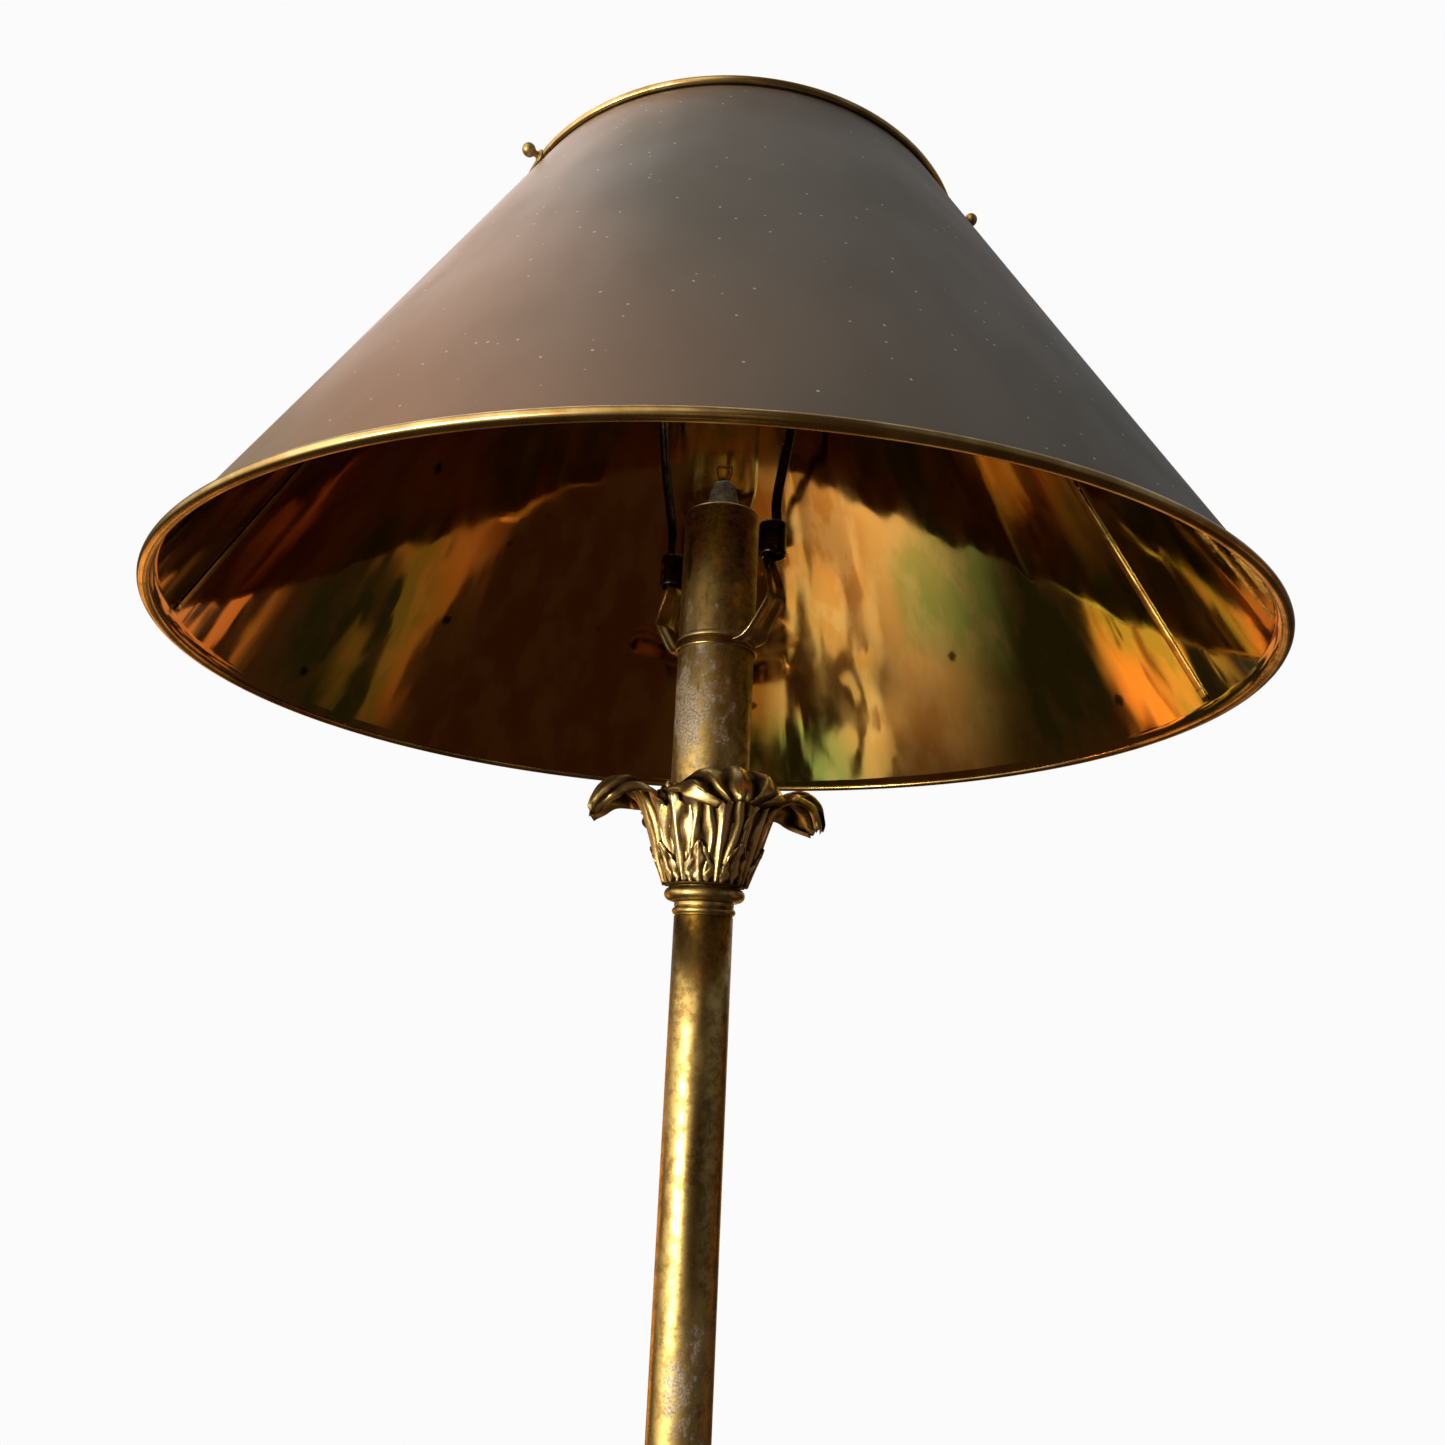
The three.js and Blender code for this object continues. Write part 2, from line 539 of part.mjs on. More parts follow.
// ---------------------------------------------------------------- lamp holder and its sleeve
function buildSocket() {
  const socket = group('socket');
  const bushingTop = socketBottom - gap;

  add(socket, 'socket_bushing', turned([
    [pipeClearance, bushingTop - pipeEnd], [socketBushingRadius - 1, bushingTop - pipeEnd],
    [socketBushingRadius, bushingTop - pipeEnd + 1], [socketBushingRadius, bushingTop],
    [pipeBore, bushingTop], [pipeBore, bushingTop - 0.9], [pipeClearance, bushingTop - 0.9],
  ], 24), antiqueBrass);

  const cavity = shellRadius + gap;
  const holes = [-1, 1].map((side) => disc(1.6 + gap, socketBottom - 1, socketBottom + 6, 16)
    .translate([side * terminalDistance, 0, 0]));
  const keyHole = turnedRadially([[0, 9], [keyShaftRadius + turnGap, 9],
    [keyShaftRadius + turnGap, 20], [0, 20]], 90, keyHeight);
  const body = turned([
    [1.6 + gap, socketBottom], [socketRadius - 0.8, socketBottom], [socketRadius, socketBottom + 0.8],
    [socketRadius, socketTop], [cavity, socketTop], [cavity, socketFloorTop], [1.6 + gap, socketFloorTop],
  ]).subtract(holes[0]).subtract(holes[1]).subtract(keyHole);
  add(socket, 'socket_body', body, phenolic);

  for (const [index, side] of [-1, 1].entries()) {
    const headBottom = socketBottom - gap - 1.6;
    const screw = turned([[0, headBottom], [terminalHeadRadius, headBottom],
      [terminalHeadRadius, headBottom + 1.6], [1.6, headBottom + 1.6], [1.6, socketBottom + 5.5],
      [0, socketBottom + 5.5]], 20);
    add(socket, ['terminal_screw_left', 'terminal_screw_right'][index],
      screw.translate([side * terminalDistance, 0, 0]), polishedBrass);
  }

  add(socket, 'socket_shell', ring(shellRadius, shellRadius - shellWall, socketFloorTop + gap,
    socketTop - 1), polishedBrass);
  add(socket, 'socket_contact', turned([[0, socketBottom + 1], [1.6, socketBottom + 1],
    [1.6, socketFloorTop + gap], [5, socketFloorTop + gap], [3, bulbBottom - gap - 0.2],
    [0, bulbBottom - gap]], 24), polishedBrass);

  const keyInner = 9.6;
  const keyEnd = socketRadius + keyShaftLength;
  const key = turnedRadially([[0, keyInner], [keyShaftRadius, keyInner], [keyShaftRadius, keyEnd - keyKnobLength],
    [keyKnobRadius - 1, keyEnd - keyKnobLength], [keyKnobRadius, keyEnd - keyKnobLength + 1],
    [keyKnobRadius, keyEnd - 1], [keyKnobRadius - 1, keyEnd], [0, keyEnd]], 90, keyHeight, 20);
  add(socket, 'switch_key', key, polishedBrass);

  const keyWindow = turnedRadially([[0, sleeveRadius - 6], [keyShaftRadius + 0.8, sleeveRadius - 6],
    [keyShaftRadius + 0.8, sleeveRadius + 6], [0, sleeveRadius + 6]], 90, keyHeight);
  const bore = sleeveRadius - sleeveWall;
  const sleeve = turned([
    [bore, sleeveBottom], [sleeveLipRadius, sleeveBottom], [sleeveLipRadius, sleeveBottom + sleeveLipHeight - 0.6],
    [sleeveLipRadius - 0.6, sleeveBottom + sleeveLipHeight], [sleeveRadius, sleeveBottom + sleeveLipHeight],
    [sleeveRadius, sleeveTop - 1.4], [sleeveRadius - 0.5, sleeveTop - 0.4], [sleeveRadius - 1.4, sleeveTop],
    [bore - 1.4, sleeveTop], [bore - 1.4, sleeveTop - 0.9], [bore, sleeveTop - 0.9],
  ]).subtract(keyWindow);
  add(socket, 'socket_sleeve', sleeve, antiqueBrass);
}

// ---------------------------------------------------------------- bulb
function buildBulb() {
  const bulb = group('bulb');
  const z = (height) => bulbBottom + height;

  const capInside = bulbCapRadius - bulbCapWall;
  const threads = Array.from({ length: 11 }, (_, i) => [
    bulbCapRadius - 0.25 * (i % 2), z(5 + (18.5 * i) / 10)]);
  add(bulb, 'bulb_cap', turned([
    [bulbCapRadius - 2.5, z(2.6)], ...threads, [bulbCapRadius, z(2.6 + bulbCapHeight)],
    [capInside, z(2.6 + bulbCapHeight)], [capInside - 0.5, z(5.6)], [bulbCapRadius - 3, z(3.4)],
  ], 24), bareSteel);
  add(bulb, 'bulb_insulator', turned([[0, z(1.2)], [5, z(1.2)], [bulbCapRadius - 3.4, z(2.6)],
    [bulbCapRadius - 3.4, z(4.6)], [0, z(4.6)]], 32), phenolic);
  add(bulb, 'bulb_contact', turned([[0, z(0)], [2.4, z(0.1)], [3.4, z(0.9)], [0, z(0.9)]], 20), bareSteel);

  const neck = capInside - gap - 0.1;
  const outside = smooth([
    [neck, z(19)], [neck, z(33)], [neck + 0.2, z(44)], [bulbRadius - 0.8, z(54)], [bulbRadius, z(62)],
    [bulbRadius, z(80)], [bulbRadius, z(bulbLength - 17)], [bulbRadius - 1.6, z(bulbLength - 8)],
    [bulbRadius * 0.5, z(bulbLength - 1.6)], [0, z(bulbLength)],
  ], 14);
  const inside = outside.map(([r, height], i) => {
    const shrink = 1 - glassWall / bulbRadius;
    return i === outside.length - 1 ? [0, height - glassWall] : [Math.min(r * shrink, r - glassWall * 0.55),
      z(19) + (height - z(19)) * (1 - glassWall / (bulbLength - 19))];
  });
  outside[outside.length - 1][0] = 0;
  add(bulb, 'bulb_envelope', turned([...inside.slice().reverse(), ...outside], 24), clearGlass);

  add(bulb, 'bulb_mount', turned([[0, z(21)], [neck - 2.2, z(21)], [neck - 3, z(22)], [8, z(30)], [7.4, z(44)],
    [6.9, z(53)], [5.4, z(58)], [4, z(61)], [0, z(61.4)]], 16), clearGlass);
  const lead = (side) => [[side * 2, 0, z(62)], [side * 3.2, 0, z(65)], [side * 3.6, 0, z(68)]];
  const filament = wireAlong([...lead(-1), [-1.8, 1.4, z(69.4)], [0, -1.4, z(69.8)], [1.8, 1.4, z(69.4)],
    ...lead(1).reverse()], 0.4, 28, 3);
  add(bulb, 'bulb_filament', filament, tungsten);
}

// ---------------------------------------------------------------- shade
function buildShade() {
  const shade = group('shade');
  const sheet = (clearance, bottom, top) => turned([
    [shadeOuterAt(bottom) - shadeWallAcross - clearance, bottom],
    [shadeOuterAt(bottom) + clearance, bottom],
    [shadeOuterAt(top) + clearance, top],
    [shadeOuterAt(top) - shadeWallAcross - clearance, top],
  ], wideSegments);

  const wallAtScrew = shadeOuterAt(screwHeight);
  let cone = sheet(0, shadeBottom, shadeTop);
  for (const azimuth of Object.values(screwAzimuths)) {
    cone = cone.subtract(turnedRadially([[0, wallAtScrew - 8], [screwRadius + turnGap, wallAtScrew - 8],
      [screwRadius + turnGap, wallAtScrew + 8], [0, wallAtScrew + 8]], azimuth, screwHeight));
  }
  add(shade, 'shade_cone', cone, paintedBrass);

  // Rolled edges: a round wire bead with a slot that the sheet's edge stands in.
  const slot = sheet(gap * 1.15, shadeBottom - gap, shadeTop + gap);
  const bead = (radius, centreRadius, centreHeight) => turned(
    Array.from({ length: 7 }, (_, i) => [
      centreRadius + radius * Math.cos((2 * Math.PI * i) / 7),
      centreHeight + radius * Math.sin((2 * Math.PI * i) / 7),
    ]), wideSegments).subtract(slot);
  add(shade, 'shade_rim', bead(rimRadius, shadeBottomRadius + 0.9, shadeBottom - 0.5), polishedBrass);
  add(shade, 'shade_bead', bead(beadRadius, shadeTopRadius + 0.9, shadeTop + 0.5), polishedBrass);

  const seamTop = shadeTop - seamMargin - screwDrop;
  const seamBottom = shadeBottom + seamMargin / 2;
  const seamClearance = facetSag(shadeBottomRadius) + gap;
  const inside = (height) => shadeOuterAt(height) - shadeWallAcross - seamClearance;
  const seamAcross = seamThickness * Math.hypot(1, shadeSlope);
  const seam = strap([
    [inside(seamBottom), seamBottom], [inside(seamTop), seamTop], [inside(seamTop) - seamAcross, seamTop],
    [inside(seamBottom) - seamAcross, seamBottom],
  ], seamWidth);
  add(shade, 'shade_seam_left', seam.rotate([0, 0, seamAzimuths.left]), polishedBrass);
  add(shade, 'shade_seam_right', seam.rotate([0, 0, seamAzimuths.right]), polishedBrass);

  // Spider: a hub on the harp's stud and three arms to tapped bosses inside the wall.
  const bossEnd = shadeOuterAt(screwHeight + spiderBossRadius) - shadeWallAcross - 2 * gap;
  const bossStart = bossEnd - spiderBossLength;
  const tappedRadius = screwRadius + turnGap;
  let spider = ring(spiderHubRadius, studRadius + turnGap, hubBottom, hubTop, 32);
  for (const azimuth of Object.values(screwAzimuths)) {
    const arm = rodBetween([spiderHubRadius - 1.5, 0, hubTop + 0.9 - spiderArmRadius],
      [bossStart + 1, 0, screwHeight], spiderArmRadius, 12).rotate([0, 0, azimuth]);
    const boss = turnedRadially([[0, bossStart], [spiderBossRadius, bossStart], [spiderBossRadius, bossEnd],
      [0, bossEnd]], azimuth, screwHeight, 16);
    const tapped = turnedRadially([[0, bossEnd - screwReach - 0.6], [tappedRadius, bossEnd - screwReach - 0.6],
      [tappedRadius, bossEnd + 1], [0, bossEnd + 1]], azimuth, screwHeight, 16);
    spider = spider.add(arm).add(boss).subtract(tapped);
  }
  add(shade, 'shade_spider', spider, antiqueBrass);

  const ballCentre = wallAtScrew + screwBallStandoff;
  const shoulder = shadeOuterAt(screwHeight - screwShoulderRadius) + gap;
  const neckRadius = 1.4;
  const startAngle = Math.PI - Math.asin(neckRadius / screwBallRadius);
  const ball = Array.from({ length: 7 }, (_, i) => {
    const angle = startAngle * (1 - i / 6);
    return [screwBallRadius * Math.sin(angle), ballCentre + screwBallRadius * Math.cos(angle)];
  });
  ball[ball.length - 1][0] = 0;
  const screwProfile = [[0, bossEnd - screwReach], [screwRadius, bossEnd - screwReach], [screwRadius, shoulder],
    [screwShoulderRadius, shoulder], [screwShoulderRadius, shoulder + 0.9], [neckRadius, shoulder + 1.1],
    ...ball];
  for (const [name, azimuth] of Object.entries(screwAzimuths)) {
    add(shade, `ball_screw_${name}`, turnedRadially(screwProfile, azimuth, screwHeight, 16), antiqueBrass);
  }
}

// ---------------------------------------------------------------- finial
function buildFinial() {
  const finial = group('finial_set');
  add(finial, 'finial_washer', ring(finialWasherRadius, studRadius + turnGap, finialWasherBottom,
    finialWasherBottom + finialWasherThickness, 40), antiqueBrass);

  const z = (height) => finialBottom + height;
  const bore = studRadius + turnGap;
  const boreTop = harpSeat + studLength + 1;
  const ballHeight = finialHeight - finialBallRadius - 3;
  const ball = Array.from({ length: 6 }, (_, i) => {
    const angle = radians(-60 + 27 * i);
    return [finialBallRadius * Math.cos(angle), z(ballHeight) + finialBallRadius * Math.sin(angle)];
  });
  add(finial, 'finial', turned([
    [0, boreTop], [bore, boreTop], [bore, z(0)], [finialWasherRadius - 1.5, z(0)],
    [finialWasherRadius - 1.5, z(1.6)], ...smooth([[6, z(3)], [4.7, z(6)], [4.9, z(8.6)]], 3),
    ...bulge(7, z(9), z(11.6), 4), [4.8, z(12.2)], ...ball,
    [1.8, z(finialHeight - 2.6)], [1.4, z(finialHeight - 0.6)], [0, z(finialHeight)],
  ], 20), polishedBrass);
}

buildBase();
buildColumn();
buildHarp();
buildSocket();
buildBulb();
buildShade();
buildFinial();

export default lamp;
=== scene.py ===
"""Looks of a brass column floor lamp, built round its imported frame.

Run as a script in Blender 4.5. Sizes are in millimetres in the functions and metres in the meshes.
"""

import bmesh
import bpy
import numpy as np
from mathutils import Matrix, Vector


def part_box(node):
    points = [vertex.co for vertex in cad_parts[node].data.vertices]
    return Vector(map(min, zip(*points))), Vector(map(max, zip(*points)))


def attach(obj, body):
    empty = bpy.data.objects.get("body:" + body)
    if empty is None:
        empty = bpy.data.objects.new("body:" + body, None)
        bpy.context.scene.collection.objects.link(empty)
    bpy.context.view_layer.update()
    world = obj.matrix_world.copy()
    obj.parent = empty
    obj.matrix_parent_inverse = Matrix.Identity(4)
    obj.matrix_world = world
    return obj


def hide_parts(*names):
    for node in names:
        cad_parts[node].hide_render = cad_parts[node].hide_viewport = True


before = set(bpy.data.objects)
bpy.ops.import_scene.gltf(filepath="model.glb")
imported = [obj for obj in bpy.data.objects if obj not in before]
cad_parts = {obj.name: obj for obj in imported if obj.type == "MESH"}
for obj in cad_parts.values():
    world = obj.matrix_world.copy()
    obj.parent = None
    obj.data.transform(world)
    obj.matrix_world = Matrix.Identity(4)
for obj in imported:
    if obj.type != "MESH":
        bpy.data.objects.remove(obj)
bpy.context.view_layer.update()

bl_info = {
    "name": "Column floor lamp finishes",
    "version": (1, 0, 0),
    "blender": (4, 5, 0),
    "location": "3D View > Sidebar > Floor lamp",
    "description": "Smooth turned, cast and rolled pieces and aged finishes for a brass column lamp",
    "category": "Add Mesh",
}

MM = 0.001


# ---------------------------------------------------------------- sizes taken from the frame
def span(node):
    """Lowest and highest height of a CAD node, in millimetres."""
    low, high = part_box(node)
    return low.z / MM, high.z / MM


def radius_of(node):
    """Outer radius of a CAD node turned about the lamp's axis, in millimetres."""
    return -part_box(node)[0].y / MM


def middle_of(node):
    low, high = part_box(node)
    return (low + high) / 2 / MM


def azimuth_of(node):
    """Direction of a CAD node's middle from the lamp's axis, in radians."""
    middle = middle_of(node)
    return np.arctan2(middle.y, middle.x)


# ---------------------------------------------------------------- outlines and grids
def smooth(points, count):
    """Catmull-Rom curve through the points: each stretch is the cubic whose end slopes are half the
    chord between the neighbouring points."""
    p = np.asarray(points, float)
    p = np.vstack([2 * p[0] - p[1], p, 2 * p[-1] - p[-2]])
    place = np.linspace(0, len(p) - 3, count)
    i = np.minimum(place.astype(int), len(p) - 4)
    t = (place - i)[:, None]
    a, b, c, d = p[i], p[i + 1], p[i + 2], p[i + 3]
    return 0.5 * (2 * b + (c - a) * t + (2 * a - 5 * b + 4 * c - d) * t**2 + (3 * b - a - 3 * c + d) * t**3)


def eased(points, size=0.5, steps=4):
    """A closed outline with each corner eased: the corner becomes a quadratic curve between the points
    that lie `size` before and after it, or a third of the edge where that is shorter."""
    p = np.asarray(points, float)
    before, after = np.roll(p, 1, 0) - p, np.roll(p, -1, 0) - p
    reach = [np.minimum(size, np.linalg.norm(v, axis=1) / 3)[:, None] for v in (before, after)]
    start = p + before / np.maximum(np.linalg.norm(before, axis=1), 1e-9)[:, None] * reach[0]
    end = p + after / np.maximum(np.linalg.norm(after, axis=1), 1e-9)[:, None] * reach[1]
    t = np.linspace(0, 1, steps)[None, :, None]
    curve = (1 - t) ** 2 * start[:, None] + 2 * t * (1 - t) * p[:, None] + t**2 * end[:, None]
    on_axis = p[:, 0] == 0
    curve[on_axis] = p[on_axis][:, None]
    return curve.reshape(-1, 2)


def bulged(outer, low, high, count=12):
    """Half-circle bead between two heights: radius + half*cos(a), middle + half*sin(a)."""
    half = (high - low) / 2
    a = np.linspace(-np.pi / 2, np.pi / 2, count)
    return np.stack([outer - half + half * np.cos(a), low + half + half * np.sin(a)], 1).tolist()


def turned(outline, segments=144):
    """A turned grid: a closed (radius, height) outline carried round Z as r*cos(t), r*sin(t), height."""
    p = np.asarray(outline, float)
    t = np.linspace(0, 2 * np.pi, segments, endpoint=False)[:, None]
    r, z = p[None, :, 0], p[None, :, 1] + 0 * t
    return np.stack([r * np.cos(t), r * np.sin(t), z], -1), True, True


def laid(grid, azimuth, height):
    """A turned grid tipped over so that its axis is the level line at an azimuth and height."""
    points, wrap_u, wrap_v = grid
    x, y, z = np.moveaxis(points, -1, 0)
    c, s = np.cos(azimuth), np.sin(azimuth)
    return np.stack([z * c - y * s, z * s + y * c, height + x], -1), wrap_u, wrap_v


def carried(path, section):
    """A closed section carried along a path. The section's axes are the level normal of the path's
    vertical plane and its cross product with the path's direction; section may change along the path."""
    p = np.asarray(path, float)
    run = np.gradient(p, axis=0)
    run /= np.linalg.norm(run, axis=1)[:, None]
    chord = p[-1] - p[0]
    level = np.cross([0, 0, 1], chord / np.linalg.norm(chord))
    level = np.broadcast_to(level / np.linalg.norm(level), p.shape)
    other = np.cross(level, run)
    s = np.broadcast_to(np.asarray(section, float), (len(p),) + np.shape(section)[-2:])
    points = p[:, None] + s[..., :1] * level[:, None] + s[..., 1:] * other[:, None]
    return points, False, True


def circle(radius, count=20):
    a = np.linspace(0, 2 * np.pi, count, endpoint=False)
    return np.stack([radius * np.cos(a), radius * np.sin(a)], 1)


def rounded_bar(width, thickness, count=28, power=4.0):
    """Superellipse section: |x/a|^n + |y/b|^n = 1, a flat bar with soft corners."""
    a = np.linspace(0, 2 * np.pi, count, endpoint=False)
    fold = np.abs(np.cos(a)) ** (2 / power), np.abs(np.sin(a)) ** (2 / power)
    return np.stack([width / 2 * np.sign(np.cos(a)) * fold[0], thickness / 2 * np.sign(np.sin(a)) * fold[1]], 1)


def spun(grid, azimuth):
    """A grid turned about the lamp's axis."""
    points, wrap_u, wrap_v = grid
    c, s = np.cos(azimuth), np.sin(azimuth)
    x, y, z = np.moveaxis(points, -1, 0)
    return np.stack([x * c - y * s, x * s + y * c, z], -1), wrap_u, wrap_v


def scaled(grid, x, y):
    """A grid whose x and y are multiplied by numbers or by one factor for each point."""
    points, wrap_u, wrap_v = grid
    return points * np.stack(np.broadcast_arrays(x, y, 1 + 0 * points[..., 0]), -1), wrap_u, wrap_v


def moved(grid, x, y):
    points, wrap_u, wrap_v = grid
    return points + np.array([x, y, 0]), wrap_u, wrap_v


# ---------------------------------------------------------------- meshes
def faces_of(rows, columns, wrap_u, wrap_v, first):
    """Quads of a grid, counted row by row, with the last row or column joined to the first."""
    i = np.arange(rows if wrap_u else rows - 1)[:, None]
    j = np.arange(columns if wrap_v else columns - 1)[None]
    i2, j2 = (i + 1) % rows, (j + 1) % columns
    quads = np.stack(np.broadcast_arrays(i * columns + j, i2 * columns + j, i2 * columns + j2, i * columns + j2), -1)
    return quads.reshape(-1, 4) + first


def make(name, grids, look, body, node, hollow=None):
    """A mesh object from grids of points in millimetres, in place of one CAD node. Open ends of a carried
    section get a cap. Points that meet are merged, faces turned outwards, and the piece rides on its body."""
    points, faces, caps, first = [], [], [], 0
    for grid, wrap_u, wrap_v in grids:
        rows, columns = grid.shape[:2]
        points.append(grid.reshape(-1, 3))
        faces.append(faces_of(rows, columns, wrap_u, wrap_v, first))
        if wrap_v and not wrap_u:
            caps += [list(range(first, first + columns)),
                     list(range(first + (rows - 1) * columns, first + rows * columns))]
        first += rows * columns
    mesh = bpy.data.meshes.new(name)
    mesh.from_pydata((np.vstack(points) * MM).tolist(), [], np.vstack(faces).tolist() + caps)
    if hollow is not None:
        mesh.attributes.new("hollow", "FLOAT", "POINT").data.foreach_set("value", hollow.astype(np.float32))
    work = bmesh.new()
    work.from_mesh(mesh)
    bmesh.ops.remove_doubles(work, verts=work.verts, dist=1e-6)
    bmesh.ops.recalc_face_normals(work, faces=work.faces)
    work.to_mesh(mesh)
    work.free()
    mesh.polygons.foreach_set("use_smooth", np.ones(len(mesh.polygons), bool))
    mesh.materials.append(finish(look))
    piece = bpy.data.objects.new(name, mesh)
    bpy.context.scene.collection.objects.link(piece)
    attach(piece, body)
    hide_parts(node)
    return piece


# ---------------------------------------------------------------- material helpers
def linear(hex_colour):
    """sRGB hex such as 'b08a3e' to linear RGBA: (c/12.92) below 0.04045, else ((c+0.055)/1.055)^2.4."""
    c = np.array([int(hex_colour[i:i + 2], 16) / 255 for i in (0, 2, 4)])
    rgb = np.where(c <= 0.04045, c / 12.92, ((c + 0.055) / 1.055) ** 2.4)
    return (*rgb.tolist(), 1.0)


def add(tree, kind, links=None, values=None, **settings):
    """Adds a node; settings are its properties, values its socket values, links the sockets feeding it."""
    node = tree.nodes.new(kind)
    for key, value in settings.items():
        setattr(node, key, value)
    for key, value in (values or {}).items():
        node.inputs[key].default_value = value
    for key, socket in (links or {}).items():
        tree.links.new(socket, node.inputs[key])
    return node


def maths(tree, operation, a, b):
    """Output of a Math node on a socket and either a second socket or a number."""
    links, values = ({0: a}, {1: b}) if isinstance(b, float) else ({0: a, 1: b}, None)
    return add(tree, "ShaderNodeMath", links, values, operation=operation).outputs[0]


def ramp(tree, factor, stops):
    node = add(tree, "ShaderNodeValToRGB", {"Fac": factor})
    node.color_ramp.interpolation = "EASE"
    while len(node.color_ramp.elements) < len(stops):
        node.color_ramp.elements.new(0.5)
    for element, (place, colour) in zip(node.color_ramp.elements, stops):
        element.position, element.color = place, linear(colour)
    return node.outputs["Color"]


def new_material(name, **shader_values):
    """A material with one Principled shader; returns it with its tree, shader and Object coordinates."""
    material = bpy.data.materials.new(name)
    material.use_nodes = True
    tree = material.node_tree
    shader = tree.nodes["Principled BSDF"]
    for key, value in shader_values.items():
        shader.inputs[key.replace("_", " ")].default_value = value
    place = add(tree, "ShaderNodeTexCoord").outputs["Object"]
    return material, tree, shader, place


def noise(tree, place, size_mm, detail=3.0, rough=0.5, squash=(1, 1, 1), shift=(0, 0, 0)):
    """Noise whose blotches are about size_mm across; squash below 1 stretches them along that axis."""
    mapped = add(tree, "ShaderNodeMapping", {"Vector": place}, {"Scale": squash, "Location": shift})
    values = {"Scale": 1 / (size_mm * MM), "Detail": detail, "Roughness": rough}
    return add(tree, "ShaderNodeTexNoise", {"Vector": mapped.outputs[0]}, values).outputs["Fac"]


def spread(tree, value, low, high, to_low=0.0, to_high=1.0):
    """Smoothly maps low..high to to_low..to_high and holds it outside."""
    values = {"From Min": low, "From Max": high, "To Min": to_low, "To Max": to_high}
    return add(tree, "ShaderNodeMapRange", {"Value": value}, values, interpolation_type="SMOOTHSTEP").outputs[0]


def mix(tree, factor, a, b):
    """Mixes two colours; a and b are sockets or sRGB hex."""
    node = add(tree, "ShaderNodeMix", {"Factor": factor}, data_type="RGBA")
    for index, colour in ((6, a), (7, b)):
        if isinstance(colour, str):
            node.inputs[index].default_value = linear(colour)
        else:
            tree.links.new(colour, node.inputs[index])
    return node.outputs[2]


def feed(shader, name, socket):
    shader.id_data.links.new(socket, shader.inputs[name])


def bump(tree, shader, height, depth_mm, strength=1.0):
    node = add(tree, "ShaderNodeBump", {"Height": height}, {"Distance": depth_mm * MM, "Strength": strength})
    feed(shader, "Normal", node.outputs[0])


# ---------------------------------------------------------------- materials
def antique_brass():
    """Drawn brass tube, chemically aged and waxed: satin gold where rubbed, grey-lilac and brown blotches
    where the patina is thick, and a fine sandy grain."""
    s = bpy.context.scene.lamp_finish
    material, tree, shader, place = new_material("antique_brass_drawn_and_aged", Metallic=1.0)
    cloud = noise(tree, place, 34, 6, 0.62, (1, 1, 0.45))
    freckle = noise(tree, place, 5, 5, 0.7)
    grain = noise(tree, place, 0.9, 2, 0.6)
    gold = mix(tree, spread(tree, freckle, 0.38, 0.66), s.brass_rubbed, s.brass_brown)
    patina = mix(tree, spread(tree, grain, 0.35, 0.65), "80715f", "c8beb2")
    thick = maths(tree, "ADD", cloud, maths(tree, "MULTIPLY", freckle, 0.45))
    aged = spread(tree, thick, 0.79, 0.90, 0.0, s.patina)
    colour = mix(tree, aged, gold, patina)
    # Drips of green-grey verdigris that ran down the tube: narrow blotches stretched along the height.
    drip = noise(tree, place, 7, 3, 0.5, (1, 1, 0.12), (0.03, 0.01, 0.0))
    colour = mix(tree, spread(tree, drip, 0.69, 0.74, 0.0, 0.75), colour, "4d5a4c")
    feed(shader, "Base Color", colour)
    feed(shader, "Roughness", spread(tree, thick, 0.55, 0.9, 0.27, 0.5))
    feed(shader, "Metallic", spread(tree, aged, 0.0, 1.0, 1.0, 0.5))
    bump(tree, shader, grain, 0.035, 0.55)
    return material


def cast_brass():
    """Sand-cast brass, darkened with an antiquing wash and rubbed back: brown-black in the hollows, gold on
    every ridge, slightly pitted all over."""
    s = bpy.context.scene.lamp_finish
    material, tree, shader, place = new_material("antique_brass_sand_cast", Metallic=1.0)
    carved = add(tree, "ShaderNodeAttribute", attribute_name="hollow").outputs["Fac"]
    blotch = noise(tree, place, 6, 5, 0.65)
    pits = noise(tree, place, 1.1, 3, 0.6)
    depth = maths(tree, "ADD", carved, maths(tree, "MULTIPLY", blotch, 0.5))
    stops = [(0.30, "dcc799"), (0.52, s.brass_rubbed), (0.74, "6b5230"), (0.98, "1f150b")]
    feed(shader, "Base Color", ramp(tree, depth, stops))
    feed(shader, "Roughness", spread(tree, depth, 0.4, 1.0, 0.34, 0.62))
    bump(tree, shader, pits, 0.16, 0.8)
    return material


